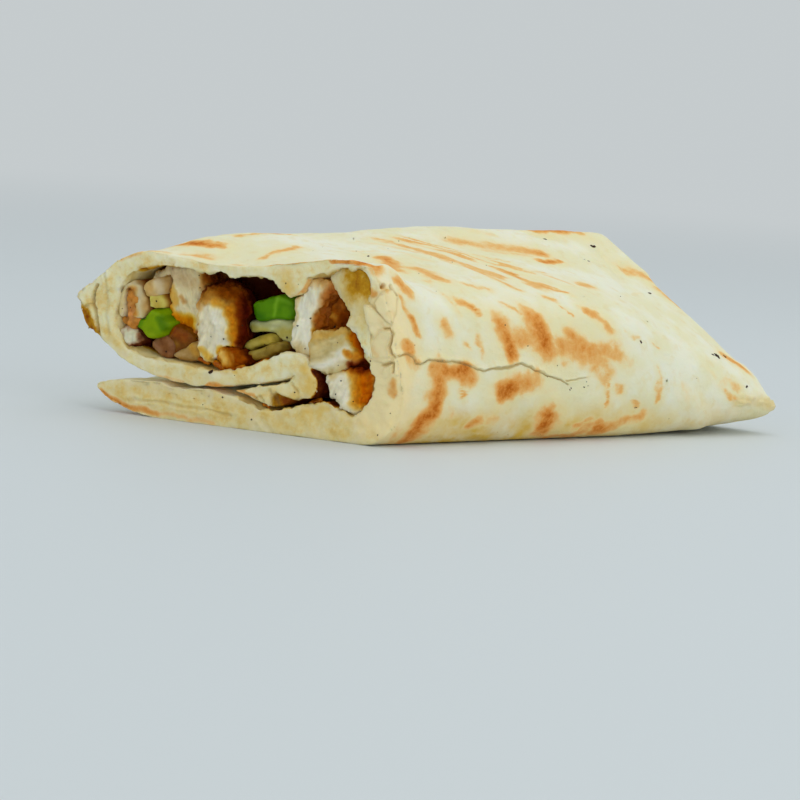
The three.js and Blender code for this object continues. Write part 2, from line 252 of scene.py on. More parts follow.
# Skin that dried and lifted off beside the cut, one plate over the next, and the ear torn up
# at the far end: each outline, then how far it stands off at one place and at another.
PLATES = [
    ([(9.4, 30.3), (7.9, 30.4), (6.3, 29.3), (4.6, 27.7), (3.5, 26.6), (5.0, 25.5), (5.7, 25.2),
      (6.1, 23.2), (7.2, 24.4), (8.3, 26.2), (9.0, 28.0)], (9, 28.5, 1.6), (4.5, 26.8, 0.2)),
    ([(6.9, 31), (4.8, 33.7), (3.3, 33.4), (2, 32.1), (1.8, 28.7), (2.6, 26.4), (4.1, 27.4),
      (6.3, 29.5)], (6.5, 30.6, 0.85), (2.4, 28.5, 0.4)),
    ([(9.6, 36.6), (8.0, 37.4), (6.6, 35.6), (6.9, 32.2), (8.9, 31.2), (9.4, 33.6)],
     (9.3, 34, 0.8), (6.8, 34, 0.2)),
    ([(5.4, 24.9), (4.3, 25.2), (2.9, 25.3), (2.4, 24.6), (2.7, 23.2), (2.8, 21.6), (2.1, 20.2),
      (1.6, 19.6), (1.8, 18.9), (3.6, 18.2), (5.4, 18.6), (6.2, 21)],
     (2.4, 22, 0.75), (5.8, 22, 0.1)),
    ([(3.4, 17.4), (2.2, 18.1), (1.8, 17.9), (1.8, 16.5), (2.6, 15), (4.4, 15)],
     (2, 18, 0.4), (4.4, 15, 0.0)),
    ([(80.4, 26.2), (77.9, 29), (75.3, 27.2), (76, 24.2), (78.2, 23)],
     (79.5, 25.2, 1.2), (75.6, 26, 0.1)),
]


def bread_grain(points):
    """Longest edge wanted at each place: fine by the cut and the tear, coarse out of sight."""
    across, height, behind = cut_places(points)
    girth = girth_places(points)
    out = out_from_axis(points[:, 1] / MM, height)
    inner_side = out < 0.82
    beside_cut = behind < 9
    streaked_fan = (behind > 38) & (behind < 72) & (girth > 18) & (girth < 66)
    cut_edge = behind < 4
    along_tear = (path_gap(behind, girth, TEAR) < 1.4) & (out > 0.8)
    cracked_rim = (across < 10.5) & (height > 13) & (height < 37) & (behind < 4.4)
    torn_ear = (across > 74) & (np.abs(height - 25) < 6) & (behind < 2)
    # Where two of these meet, the later one counts.
    grain = np.where((girth > -20) & (girth < 80), 0.9, 1.5)
    for place, longest in [(inner_side, 2.2), (beside_cut, 0.8), (streaked_fan, 0.55), (cut_edge, 0.45),
                           (along_tear, 0.24), (cracked_rim, 0.24), (torn_ear, 0.32)]:
        grain[place] = longest
    return grain * MM


def refine(piece, grain):
    """Splits every edge that is well over the grain wanted at its finer end, time and again."""
    shape = bmesh.new()
    shape.from_mesh(piece.data)
    bmesh.ops.remove_doubles(shape, verts=shape.verts, dist=0.02 * MM)
    for _ in range(12):
        shape.verts.index_update()
        wanted = grain(np.array([point.co for point in shape.verts]))
        long_edges = [edge for edge in shape.edges
                      if edge.calc_length() > 1.3 * min(wanted[end.index] for end in edge.verts)]
        if not long_edges:
            break
        bmesh.ops.subdivide_edges(shape, edges=long_edges, cuts=1)
        crowded = [face for face in shape.faces if len(face.verts) > 3]
        bmesh.ops.triangulate(shape, faces=crowded, quad_method="BEAUTY", ngon_method="BEAUTY")
    shape.to_mesh(piece.data)
    shape.free()


bread = new_piece("flatbread_sheet", frame["nodes"]["flatbread"].data.copy())
bread.data.materials.clear()
refine(bread, bread_grain)
smooth_shaded(bread)

# The solid's facets melt together, least at the cut, where the edge stays crisp. The dry rim on
# the near side is rounded all the same.
across, height, behind = cut_places(points_of(bread))
soften(bread, 14, give=0.15 + 0.85 * step(0.5, 5, behind))
dry_rim = step(13, 9, across) * step(3.2, 6, height) * step(7, 3, behind)
soften(bread, 45, give=dry_rim)
soften(bread, 3)

# How much each point belongs to the skin, to the cut face (front) and to the inner side.
points = points_of(bread)
normals = normals_of(bread)
across, height, behind = cut_places(points)
girth = girth_places(points)
facing_cut = normals @ cut_normal
outward = normals[:, 1] * points[:, 1] + normals[:, 2] * (points[:, 2] - ROLL_AXIS_HEIGHT * MM)
skin = step(-0.003, 0.003, outward)
front = step(0.35, 0.8, blurred(bread, facing_cut, 3)) * (1 - step(1.2, 2.2, behind))
# The closed end, and the loose flap and what lies over it, are skin as well.
skin = np.maximum(skin, step(40, 60, behind))
skin = np.maximum(skin, step(38, 42, across) * step(11.6, 10.8, height))
skin = skin * (1 - front)
inside = (1 - skin) * (1 - front)
clear_of_table = step(0.3, 2.5, height)

# Soft waves over the whole roll, fine wrinkles that run round it and slanting folds low down.
bend = crumple(points, 10 * MM, 3)[:, None]
flat = np.zeros(len(points))
bent = np.stack([behind / 3.4, girth / 26, flat], axis=1) + 0.45 * bend
slanting = np.stack([(behind + 1.1 * girth) / 6, (girth - behind) / 30, flat], axis=1) + 0.3 * bend
waves = bumps(points, (0.5, 24, 1), (0.25, 10, 2))
wrinkles = 0.1 * crumple(bent, 1.0, 4) + 0.04 * crumple(bent, 0.45, 5)
folds = 0.5 * crumple(slanting, 1.0, 23) * step(4, -4, girth) * step(0, 12, behind)
lift = (waves + folds + wrinkles * (1 + 0.8 * step(8, -8, girth))) * skin
lift = lift * clear_of_table * step(-0.2, 8, behind) + bumps(points, (0.03, 1.5, 6))
# The sliced face: doughy and a little uneven, and ragged where the knife dragged.
doughy = bumps(points, (0.18, 1.3, 7), (0.34, 4.5, 8))
lift = lift * (1 - front) + (doughy - 0.15) * front
ruffled = bumps(points, (0.36, 2.3, 17), (0.22, 1.1, 18))
lift += ruffled * (1 - front) * step(3.5, 0.5, behind) * clear_of_table * (1 - 0.6 * skin)
points += moves(normals, lift)
# The roof over the near side is thinner than the rest, and the wall under it thicker.
thin_roof = between(7.4, 9.5, 15, 20, across) * between(34.4, 35.6, 37.2, 38.4, height)
points[:, 2] += 1.2 * MM * thin_roof * step(14, 6, behind)
thick_wall = between(3.2, 6, 8.8, 10.5, across) * between(4, 8, 20, 25, height)
points += moves(along_cut, 1.2 * thick_wall * step(18, 9, behind))
# The turned-in edge rolls over a hollow on its underside.
rolled_over = np.interp(across, [20, 22, 24.3, 27.7, 29.2, 30.4], [9.4, 8.6, 8.2, 8.9, 9.4, 8.4])
over_flap = np.interp(across, [20, 24, 27.6, 31], [6.6, 6.5, 5.3, 4.9])
hollow = between(over_flap - 0.2, over_flap + 0.3, rolled_over - 0.9, rolled_over, height)
hollow *= between(22.4, 23.6, 29.6, 30.8, across) * step(5, 1, behind)
points -= moves(cut_normal, 1.8 * hollow)
flap_edge = np.interp(across, [20, 24, 27.6, 30, 33], [7.6, 6.2, 5.2, 4.8, 5.4])
raised = between(1.5, 4, flap_edge - 0.5, flap_edge, height) * step(18.5, 21, across)
points[:, 2] += 1.0 * MM * raised * step(33, 29, across) * step(8, 4, behind)
torn_inside = step(0.2, 0.6, inside) * step(3.0, 0.8, behind) * clear_of_table
points += moves(normals, bumps(points, (0.4, 1.5, 28), (0.25, 0.8, 29)) * torn_inside)

# Long shallow creases where the end was folded in, each a path of (behind, round the roll), its
# half width and how deep it is, and the path of the torn ridge left at the very tip.
CREASES = [
    ([(96, 60), (101, 58.2), (102.6, 54), (101.5, 51), (104.3, 49.2), (107.4, 46.7)], 1.4, 0.6),
    ([(110.3, 54.3), (107.4, 46.7), (101, 37.9), (97.2, 30.1)], 1.6, 0.7),
    ([(113.8, 50.2), (111.8, 47.6), (110, 45.3)], 1.6, 0.9),
    ([(34.6, 0.5), (36.1, -8.3)], 1.3, 0.22), ([(38.6, -0.3), (37.8, -7.8)], 1.2, 0.18),
    ([(28.3, -1.6), (26.2, -4.6)], 1.1, 0.2), ([(16, 31), (24, 23), (30, 19)], 1.6, 0.2),
]
TIP_RIDGE = [(101, -3.6), (106, -3.4), (110, -3.6), (116, -5)]
for path, half_width, deep in CREASES:
    gap = path_gap(behind, girth, path)
    points -= moves(normals, deep * np.exp(-(gap / half_width) ** 2) * skin)
tip_ridge = step(2.2, 0.3, path_gap(behind, girth, TIP_RIDGE)) * skin * step(98, 102, behind)
shreds = np.maximum(bumps(points, (1, 1.2, 24), (0.5, 0.6, 25)), -0.4)
points += moves(normals, (0.35 + 0.8 * shreds) * tip_ridge)

# How many millimetres each point of the cut face lies in from the face's edge.
beside_face = np.flatnonzero((behind > 0.9) & (behind < 4) & (front < 0.05))
face_edge = KDTree(len(beside_face))
for index in beside_face:
    face_edge.insert(points[index], int(index))
face_edge.balance()
from_edge = np.zeros(len(points))
for index in np.flatnonzero(behind < 2.2):
    from_edge[index] = face_edge.find(points[index])[2] / MM - 0.8
from_edge = blurred(bread, from_edge, 4)


def open_crack(gap, half_width, depth, lip):
    """How far a split skin sinks along its crack and curls up beside it."""
    sink = depth * np.clip(1 - (gap / half_width) ** 2, 0, 1)
    curl = lip * np.exp(-((gap - 1.5 * half_width) / half_width) ** 2)
    return curl * (gap > half_width * 0.8) - sink


def seen_across(across, behind):
    """How far across the cut a place behind it seems to lie, looked at from the front corner."""
    return across - 0.83 * behind


jagged = bumps(points, (0.2, 1.1, 9), (0.25, 3, 10))
# Round the rim's corner the cracks and plates run on from the cut face to the side.
rim_across = seen_across(across, behind)
rim = step(4.6, 3.8, behind) * step(-0.4, 0.1, facing_cut) * (1 - inside)
plate_edge_shadow = np.zeros(len(points))
for outline, first, second in PLATES:
    inward = inside_outline(rim_across + 0.6 * jagged, height + 0.6 * jagged, outline)
    run = np.array([second[0] - first[0], second[1] - first[1]])
    share = ((rim_across - first[0]) * run[0] + (height - first[1]) * run[1]) / (run @ run)
    stand = np.interp(share, [0, 1], [first[2], second[2]])
    points += moves(normals, stand * step(-0.12, 0.14, inward) * rim)
    # Painted shadow along each plate's edge, the deeper the further the plate stands off.
    edge = np.exp(-(inward / 0.3) ** 2) * np.clip(stand / 0.6, 0, 1) * rim
    plate_edge_shadow = np.maximum(plate_edge_shadow, edge)

# The tear gapes unevenly, and the skin above it stands up along its edge.
outside = step(0.78, 0.85, out_from_axis(points[:, 1] / MM, height))
gap = path_gap(behind + jagged, girth + 0.8 * jagged, TEAR)
above = step(-0.3, 0.3, girth - np.interp(behind, *zip(*TEAR)))
width = 0.2 + 0.2 * crumple(points, 6 * MM, 15) ** 2 + 0.14 * np.exp(-((behind - 30) / 6) ** 2)
width *= step(50, 42, behind) * 0.5 + 0.5
tear = open_crack(gap, width, depth=0.36, lip=0) * outside * step(-0.2, 0.6, behind)
tear += 0.4 * above * np.exp(-(gap / 1.2) ** 2) * outside * (gap > 0.3) * step(50, 40, behind)
points += moves(normals, tear)
split_and_shadow = np.clip(1.2 - gap / width, 0, 1) * outside
branch = path_gap(behind + jagged, girth + jagged, TEAR_BRANCH)
points += moves(normals, open_crack(branch, half_width=0.25, depth=0.25, lip=0.1) * outside)
split_and_shadow = np.maximum(split_and_shadow, np.clip(0.8 - branch / 0.35, 0, 1) * outside)
for crack in RIM_CRACKS:
    gap = path_gap(rim_across + 0.6 * jagged, height + 0.6 * jagged, crack)
    points += moves(normals, open_crack(gap, RIM_CRACK_HALF, depth=0.5, lip=0.1) * rim)
    split_and_shadow = np.maximum(split_and_shadow, np.clip(1.1 - gap / RIM_CRACK_HALF, 0, 1) * rim)
gap = np.hypot(rim_across - RIM_HOLE[0], height - RIM_HOLE[1])
points += moves(normals, open_crack(gap, RIM_HOLE_RADIUS, depth=0.8, lip=0.2) * rim)
# The hole is painted with the shade inside it.
hole_shade = np.clip(1.3 - gap / RIM_HOLE_RADIUS, 0, 1) * rim

# Where the sheet lies double, the gaps between its layers show as dark lines on the cut face:
# each a path of (across, height), then its half width and how deep it is.
LAYER_GAPS = [
    ([(75.4, 28.4), (76.0, 26), (76.0, 23.7), (74.8, 20.3), (74.2, 16.9), (72.3, 14)], 0.5, 1.3),
    ([(73.4, 31), (72.9, 27), (72.4, 21), (71.4, 17)], 0.4, 0.25),
    ([(66, 3.2), (60, 3.6), (50, 3.4), (40, 3.0)], 0.4, 0.2),
    ([(30.2, 9.4), (29.6, 7.8), (28.9, 6.2)], 0.45, 0.5),
    ([(25.2, 11.3), (24.4, 10.2), (23.3, 9.4)], 0.4, 0.35),
    ([(34.2, 7.3), (32.6, 7.6), (31.6, 6.6)], 0.35, 0.45),
]
layer_jag = bumps(points, (0.5, 2.2, 19))
for path, half_width, deep in LAYER_GAPS:
    gap = path_gap(across + layer_jag, height + layer_jag, path)
    points += moves(normals, open_crack(gap, half_width, deep, lip=0.15) * front)
    split_and_shadow = np.maximum(split_and_shadow, np.clip(1 - gap / half_width, 0, 1) * front * min(deep, 1))

points[:, 2] = np.maximum(points[:, 2], 0)
move_points(bread, points)

# Where the griddle browned the sheet: strokes from one place to another, each as
# (behind the cut, round the roll, behind, round, half width, strength).
TOAST = [
    # the near side, from the cut to the folded end
    (7.7, -9, 10.4, -3.2, 2.5, 1.1), (10.4, -3, 11.3, 4.2, 2.4, 1.0), (12, 3.9, 19.5, 3.6, 1.9, 1.0),
    (17.4, 0.3, 17.8, -0.4, 1.0, 0.85), (28.8, -0.5, 31.7, 0.9, 2.2, 1.2),
    (31.9, 1.3, 38.5, 2.2, 2.4, 0.85), (39.6, -1.2, 43.9, 0.6, 1.4, 0.25),
    (42.9, -5.4, 44.9, -8.2, 2.5, 1.35), (31, 14, 31.8, 8.4, 2.3, 0.95),
    (41, 14.6, 42.3, 9.2, 3.1, 0.95), (33, 11, 42, 10.6, 2.8, 0.65), (48, 8.2, 64, 7.6, 2.6, 0.75),
    (52, 10.4, 60, 4, 2.6, 0.75), (66, 7, 68, 5.6, 1.2, 0.4), (60, 4, 61, -3.4, 0.9, 0.8),
    (61, 17, 64, 12.4, 1.5, 0.95), (63.4, 0, 65, -0.2, 1.2, 0.75), (76.8, 4, 76.6, 1, 0.6, 0.6),
    (76.5, 0, 77, -3, 0.8, 0.6), (85, -0.6, 85.4, -2.8, 1.3, 0.35), (89, -2.2, 89.5, -4, 1.0, 0.25),
    (69.6, 11.8, 73, 10.3, 0.5, 0.5), (77, 10.2, 79, 9.1, 0.5, 0.45), (69.6, -3.2, 71.6, -4, 0.7, 0.5),
    (60.5, -9.4, 67, -8.2, 1.5, 0.9), (66, -7.8, 73, -6.6, 1.2, 0.75), (53, -7.6, 57, -6.8, 0.9, 0.75),
    (56, -8.8, 61, -7.8, 1.0, 0.7), (48, -11, 58, -10, 1.3, 0.7), (22.2, -6.6, 24, -5.8, 1.2, 0.85),
    (26.6, -5.2, 29.6, -5.9, 1.0, 0.45), (15.9, -2.8, 16.6, -5, 0.9, 0.4), (54, 18, 54.4, 16, 0.7, 0.6),
    (36, 18, 37.6, 16.2, 0.9, 0.7), (24, 19, 26.3, 17, 1.2, 0.85), (22, 21, 21, 17, 0.9, 0.45),
    (15, 14, 15.8, 11.8, 1.3, 0.7), (24, 10, 24.2, 8, 1.1, 0.65), (20, 10, 20.3, 9, 0.8, 0.5),
    (5, 18.4, 5.6, 17, 1.0, 0.65), (6.2, 15, 7, 12.2, 1.2, 0.85), (3.2, 9.4, 4.2, 7.6, 1.4, 0.75),
    (5.3, 6.6, 5.3, 5, 0.9, 0.5), (97, -0.4, 99, 0.6, 0.8, 0.5), (99, -1.6, 102, -2.6, 0.9, 0.55),
    (101, 0.2, 103.6, -0.6, 0.8, 0.5), (6.4, 21.8, 8, 20.2, 1.5, 0.75), (0.2, 21, 0.6, 20, 1.0, 0.6),
    (-0.2, -2, 0.2, -3.6, 1.3, 0.7), (0.1, 3.1, 0.6, 1.4, 1.0, 0.5), (3.7, 8.6, 4.6, 5.2, 1.2, 0.5),
    (0.2, 2.8, 0.4, 1.6, 1.0, 0.45), (2, -8, 4, -12, 1.5, 0.45), (109, 7, 112, 4, 1.5, 0.9),
    (94.8, 3.4, 96, 1.6, 0.5, 0.45), (98, 0.3, 102, 0.8, 0.7, 0.45),
    # over the shoulder, in bands that run up to the crest
    (51, 61, 49, 41, 1.3, 0.6), (49, 41, 47, 24, 1.3, 0.6), (47, 58, 48, 45, 1.0, 0.45),
    (56, 57, 61, 41, 1.2, 0.6), (61, 41, 66, 34, 1.1, 0.65), (57.6, 38, 58, 33, 1.3, 0.75),
    (69, 56, 77, 52.6, 3.2, 0.7), (76, 53, 86, 50.5, 2.8, 0.8), (71, 51, 80, 48, 2.0, 0.5),
    (80, 44.4, 88, 46, 1.2, 0.95), (99, 61, 113, 60.2, 1.3, 1.0), (75.5, 28.5, 77.5, 29, 2.4, 0.65),
    (66.4, 35, 69.6, 35.3, 1.3, 0.45), (52.8, 21.2, 54.4, 19.9, 1.0, 0.5),
    (58, 27, 62, 22.8, 0.9, 0.75), (34, 25, 38, 23.2, 1.4, 0.5), (32, 35, 30.4, 28, 2.2, 0.7),
    (34, 45, 25.6, 34, 2.0, 0.8), (31, 32, 25, 26, 1.2, 0.35), (113, 49, 118, 46, 2.2, 0.75),
    (116, 40, 117, 31, 2.2, 0.75), (119, 29, 118, 24, 1.2, 0.35), (63, 47, 67, 42, 0.8, 0.4),
    (43, 54, 42, 42, 0.9, 0.35), (32, 52, 39, 52, 0.5, 0.4), (0, 41, 0.8, 27, 1.8, 0.95),
    (2, 30, 3, 24, 1.4, 0.5),
    # the top beside the cut and the far shoulder
    (9.8, 72.2, 11, 69, 1.7, 1.0), (11, 69, 11, 65.4, 1.6, 0.8), (4, 67.3, 4.5, 62.6, 1.4, 0.5),
    (20, 67, 34, 67, 0.8, 0.6), (14, 54, 21, 56, 1.3, 0.8), (9, 53, 13, 54, 0.9, 0.55),
    (5, 66, 5, 63, 1.6, 0.45), (2, 54, 2, 53, 1.3, 0.6), (0, 72, 2, 70.6, 1.4, 0.45),
    (79, 60, 84, 60, 1.5, 0.3),
]
# Browning that reaches the rim of the cut: (across, height, across, height, half width, strength).
RIM_TOAST = [
    (40, 7.9, 34, 7.2, 0.6, 0.7), (17, 38.7, 12.7, 39.2, 0.9, 0.9), (12.7, 39.3, 9.3, 39.0, 1.3, 1.05),
    (9.3, 39.0, 6.9, 37.5, 1.3, 0.9), (8, 33.2, 7.4, 32.8, 0.9, 0.8), (73, 4.2, 66, 1.6, 0.8, 0.9),
    (66, 1.6, 58, 1.0, 0.7, 0.8), (58, 0.9, 44, 0.6, 0.8, 0.5), (46, 8.6, 37, 8.4, 0.7, 0.9),
    (60, 9.4, 52, 8.8, 0.5, 0.5), (5.2, 27, 5, 26.4, 0.9, 0.3), (3.0, 29, 2.6, 28.6, 0.9, 0.4),
    (5.4, 21, 5.0, 20, 1.0, 0.4), (1.2, 14.4, 0.9, 12, 1.1, 0.7), (70, 34.2, 64, 36.6, 0.7, 0.5),
]
# Golden patches on the cut face itself, in the same terms.
GOLDEN = [
    (22, 14.6, 20.6, 9.2, 2.0, 1.0), (24.4, 9, 21.6, 9.4, 1.6, 0.8), (28, 33.6, 27, 30.6, 1.8, 0.8),
    (39, 4.4, 31, 3.4, 1.6, 0.6), (22, 4.6, 17, 6.4, 1.4, 0.8), (52, 5, 42, 4.8, 1.0, 0.5),
    (28, 2.6, 20, 4.4, 1.6, 0.55), (40, 2, 28, 1.6, 1.2, 0.4), (66, 9.8, 54, 11, 1.0, 0.35),
    (73, 18, 68, 13.6, 1.4, 0.4), (16, 5, 10, 3.6, 1.6, 0.5), (52, 12.8, 39, 12.6, 0.9, 0.9),
]


def stroke_cover(u, v, stroke, reach=1.95, solid=0.0):
    """How strongly a stroke covers each place: fully near its line, not at all out of reach."""
    u0, v0, u1, v1, half_width, strength = stroke[:6]
    least_run = 0.01
    gap = path_gap(u, v, [(u0, v0), (u1 + least_run, v1)])
    return strength * step(reach, solid, gap / half_width)


def strokes_cover(u, v, strokes, reach=1.95, solid=0.0):
    """The same for many strokes, where the strongest one counts."""
    cover = np.zeros(len(u))
    for stroke in strokes:
        cover = np.maximum(cover, stroke_cover(u, v, stroke, reach, solid))
    return cover


# Every stroke is laid down with a ragged outline.
ragged = bumps(points, (0.9, 3.4, 11), (0.6, 1.3, 12))
ragged_round = bumps(points, (0.9, 3.4, 13), (0.6, 1.3, 14))
# The side turned away browned the same way, in spots of its own.
FAR_STROKES = 150
placing = random.Random(5)
far_strokes = []
for _ in range(FAR_STROKES):
    along, round_ = placing.uniform(-4, 152), placing.uniform(76, 150)
    turn, long = placing.uniform(0, math.pi), placing.uniform(1, 7)
    stroke_end = (along + long * math.cos(turn), round_ + long * math.sin(turn))
    far_strokes.append((along, round_, *stroke_end, placing.uniform(0.9, 2.8), placing.uniform(0.5, 1)))
toast = strokes_cover(behind + ragged, girth + ragged_round, TOAST + far_strokes)
warmth = strokes_cover(behind, girth, TOAST + far_strokes, reach=3.6, solid=0.1)
# Over the shoulder the folds were browned in a fan of fine broken streaks.
below_crest = np.maximum(61 - girth, 0)
fan = (behind - 50.5 + 0.08 * below_crest) / (1 + 0.06 * below_crest)
streaks = step(-0.1, 0.42, crumple(np.stack([fan / 0.9, girth / 7, flat], axis=1), 1.0, 27))
streaks *= between(-2.4, -1, 6.5, 9.5, fan) * between(20, 27, 58, 64, girth)
fan_glow = between(-3, 0, 6, 10, fan) * between(20, 30, 58, 66, girth)
toast = np.maximum(toast, 0.6 * streaks)
warmth = np.maximum(warmth, 0.6 * fan_glow)
mottle = bumps(points, (1, 7, 16), (0.6, 3.5, 26))
toast *= np.clip(0.95 + 0.3 * mottle, 0.6, 1.2) * skin
rim_toast = strokes_cover(rim_across + 0.5 * ragged, height + 0.5 * ragged_round, RIM_TOAST)
toast = np.maximum(toast, rim_toast * step(5, 3.4, behind) * (1 - inside))
# Golden, not brown: a band low down on the near side, toasted and with painted warm light bounced up
# from below, the ridge at the tip, the bread round the cut and patches on the cut face.
golden = between(-24, -15, -9, -1, girth) * np.clip(1.1 + 0.6 * mottle, 0, 1.3)
golden *= step(1, 6, behind) * (1 - 0.6 * step(50, 85, behind))
golden = np.maximum(golden, 0.5 * tip_ridge)
golden = np.maximum(golden, 0.38 * step(16, 5, height) * (1 - skin))
golden = np.maximum(golden, 0.35 * step(9, 2, behind) * step(26, 8, girth) * skin)
golden = np.maximum(golden, strokes_cover(across + ragged, height + ragged_round, GOLDEN) * front)
# By the near wall the cut face dried as pale as the skin.
dry_front = front * step(12, 8, across) * step(4, 7, height)
# A mark holds 0 to 1, so the toast and the distance from the edge are scaled to fit.
mark(bread, "toast", toast / 2)
mark(bread, "warmth", warmth)
mark(bread, "golden", golden)
# The rim by the near wall is painted pale and warm: dried skin, with painted light on it from the near
# side.
pale_rim = step(8, 1.5, behind + 1.5 * ragged) * step(-0.4, 0.1, facing_cut) * (1 - inside)
mark(bread, "rim", 0.75 * pale_rim * step(11, 7, rim_across) * between(0, 5, 32, 38, height))
mark(bread, "sliced", front - dry_front)
mark(bread, "skin", np.maximum(skin, dry_front))
# Splits, with painted shadow along the lifted plates' edges, and the painted shade in the hole.
mark(bread, "split_and_shadow", np.maximum(split_and_shadow, 0.6 * plate_edge_shadow))
mark(bread, "hole_shade", hole_shade)
mark(bread, "from_edge", from_edge / 2.5)

# Sauce that soaked into the sheet from the filling, darkened with painted shade deeper in: all over the
# inner walls further in, and in strokes at the cut, some of them painted shade in the pockets by the
# turned-in edge, as (across, height, across, height, half width, strength).
SOAK_AND_SHADE_STROKES = [
    (64, 32.8, 57, 33.9, 1.6, 0.6), (49, 12.9, 38, 13.2, 0.8, 0.36), (57, 13.4, 50, 13.0, 0.7, 0.35),
    (36, 14, 31, 16.6, 0.9, 0.45), (7.6, 20, 9.2, 24.6, 0.7, 0.5), (19.7, 13, 19.7, 9, 0.8, 0.5),
    (20, 7.4, 24.4, 6.4, 0.9, 0.55), (31.2, 5.4, 33.4, 6.4, 0.8, 0.75),
]
OIL_SPOT = (78.3, 22.2, 75.5, 17.4, 1.4, 0.64)
# On the walls it starts a little behind the cut, further back under the roof, and darkens further in,
# partly painted shade. In the pockets round the turned-in edge, and in the hollow under it, painted
# shade in the same colours comes nearly to the cut.
starts = 2.6 + 3 * step(28, 31, height)
soak_and_shade = inside * step(starts, starts + 5.4, behind + 1.2 * ragged) * ((height > 11.5) | (across < 30))
pocket = between(14, 16, 23, 24.5, across) * between(6, 7.4, 14.6, 15.6, height)
pocket = np.maximum(pocket, between(18, 20, 29.6, 31, across) * between(3, 4, 8, 9, height))
pocket *= step(0.3, 1.0, behind + 0.4 * ragged) * step(20, 14, behind) * step(0.8, 0.4, front)
soak_and_shade = np.maximum(soak_and_shade, 1.1 * pocket)
soak_and_shade = np.maximum(soak_and_shade, hollow * np.interp(across, [23, 29], [0.95, 0.6]))
# Where the filling leans out over the floor, the floor under it is only golden.
floor_front = between(33, 38, 56, 61, across) * step(16.5, 14, height) * step(11, 5, behind)
soak_and_shade *= 1 - 0.45 * floor_front
soak_and_shade_at_cut = strokes_cover(across + 0.5 * ragged, height + 0.5 * ragged_round, SOAK_AND_SHADE_STROKES, reach=2.0)
soak_and_shade_at_cut *= (1 - skin) * (1 - 0.45 * front) * step(7, 4, behind)
oil_spot = stroke_cover(across + 0.4 * ragged, height + 0.4 * ragged_round, OIL_SPOT)
soak_and_shade = np.maximum(soak_and_shade, np.maximum(soak_and_shade_at_cut, oil_spot * step(3, 1.5, behind)))
mark(bread, "soak_and_shade", soak_and_shade)


def colour(red, green, blue):
    """A paint colour as the eye reads it, 0 to 255, turned into light."""
    return tuple(((v / 255 + 0.055) / 1.055) ** 2.4 if v > 10 else v / 255 / 12.92
                 for v in (red, green, blue)) + (1.0,)


class Mixer:
    """Lays down the nodes of one material or group, in rows, and joins them."""

    def __init__(self, tree):
        self.tree = tree
        self.spots = 0

    def node(self, kind, **values):
        """Adds a node at the next free spot, twelve to a row, and sets what is named."""
        made = self.tree.nodes.new(kind)
        made.location = (self.spots % 12 * 180, -(self.spots // 12) * 260)
        self.spots += 1
        for name, value in values.items():
            setattr(made, name, value)
        return made

    def join(self, source, target):
        self.tree.links.new(source, target)
        return target

    def feed(self, socket, value):
        """Joins another node's output to a socket, or sets a plain value on it."""
        if hasattr(value, "is_output"):
            self.join(value, socket)
        else:
            socket.default_value = value

    def reading(self, name):
        return self.node("ShaderNodeAttribute", attribute_name=name).outputs["Fac"]

    def place(self):
        return self.node("ShaderNodeTexCoord").outputs["Object"]

    def noise(self, size, detail=3.0, rough=0.55):
        made = self.node("ShaderNodeTexNoise")
        self.join(self.place(), made.inputs["Vector"])
        made.inputs["Scale"].default_value = 1 / size
        made.inputs["Detail"].default_value = detail
        made.inputs["Roughness"].default_value = rough
        return made.outputs["Fac"]

    def sums(self, how, a, b=0.0, c=None):
        made = self.node("ShaderNodeMath", operation=how)
        self.feed(made.inputs[0], a)
        self.feed(made.inputs[1], b)
        if c is not None:
            self.feed(made.inputs[2], c)
        return made.outputs[0]

    def spread(self, value, low, high, out_low=0.0, out_high=1.0):
        made = self.node("ShaderNodeMapRange", interpolation_type="SMOOTHSTEP")
        self.feed(made.inputs["Value"], value)
        made.inputs["From Min"].default_value = low
        made.inputs["From Max"].default_value = high
        made.inputs["To Min"].default_value = out_low
        made.inputs["To Max"].default_value = out_high
        return made.outputs["Result"]

    def blend(self, share, first, second):
        """Mixes two colours, whose sockets on the node have these numbers."""
        factor, colour_a, colour_b, colour_out = 0, 6, 7, 2
        made = self.node("ShaderNodeMix", data_type="RGBA")
        self.feed(made.inputs[factor], share)
        self.feed(made.inputs[colour_a], first)
        self.feed(made.inputs[colour_b], second)
        return made.outputs[colour_out]

    def ramp(self, value, stops):
        made = self.node("ShaderNodeValToRGB")
        while len(made.color_ramp.elements) < len(stops):
            made.color_ramp.elements.new(0.5)
        for element, (place, paint) in zip(made.color_ramp.elements, stops):
            element.position = place
            element.color = paint
        self.feed(made.inputs["Fac"], value)
        return made.outputs["Color"]

    def relief(self, height, depth):
        made = self.node("ShaderNodeBump")
        self.join(height, made.inputs["Height"])
        self.feed(made.inputs["Distance"], depth)
        return made.outputs["Normal"]


def new_material(name):
    made = bpy.data.materials.new(name)
    made.use_nodes = True
    made.node_tree.nodes.clear()
    mixer = Mixer(made.node_tree)
    surface = mixer.node("ShaderNodeBsdfPrincipled")
    output = mixer.node("ShaderNodeOutputMaterial")
    mixer.join(surface.outputs["BSDF"], output.inputs["Surface"])
    return made, mixer, surface


def settle(node, plain_values):
    """Sets values that are the same all over on a node's own sockets, by their names."""
    for name, value in plain_values.items():
        node.inputs[name].default_value = value


bread_look, mix, surface = new_material("toasted_flatbread")
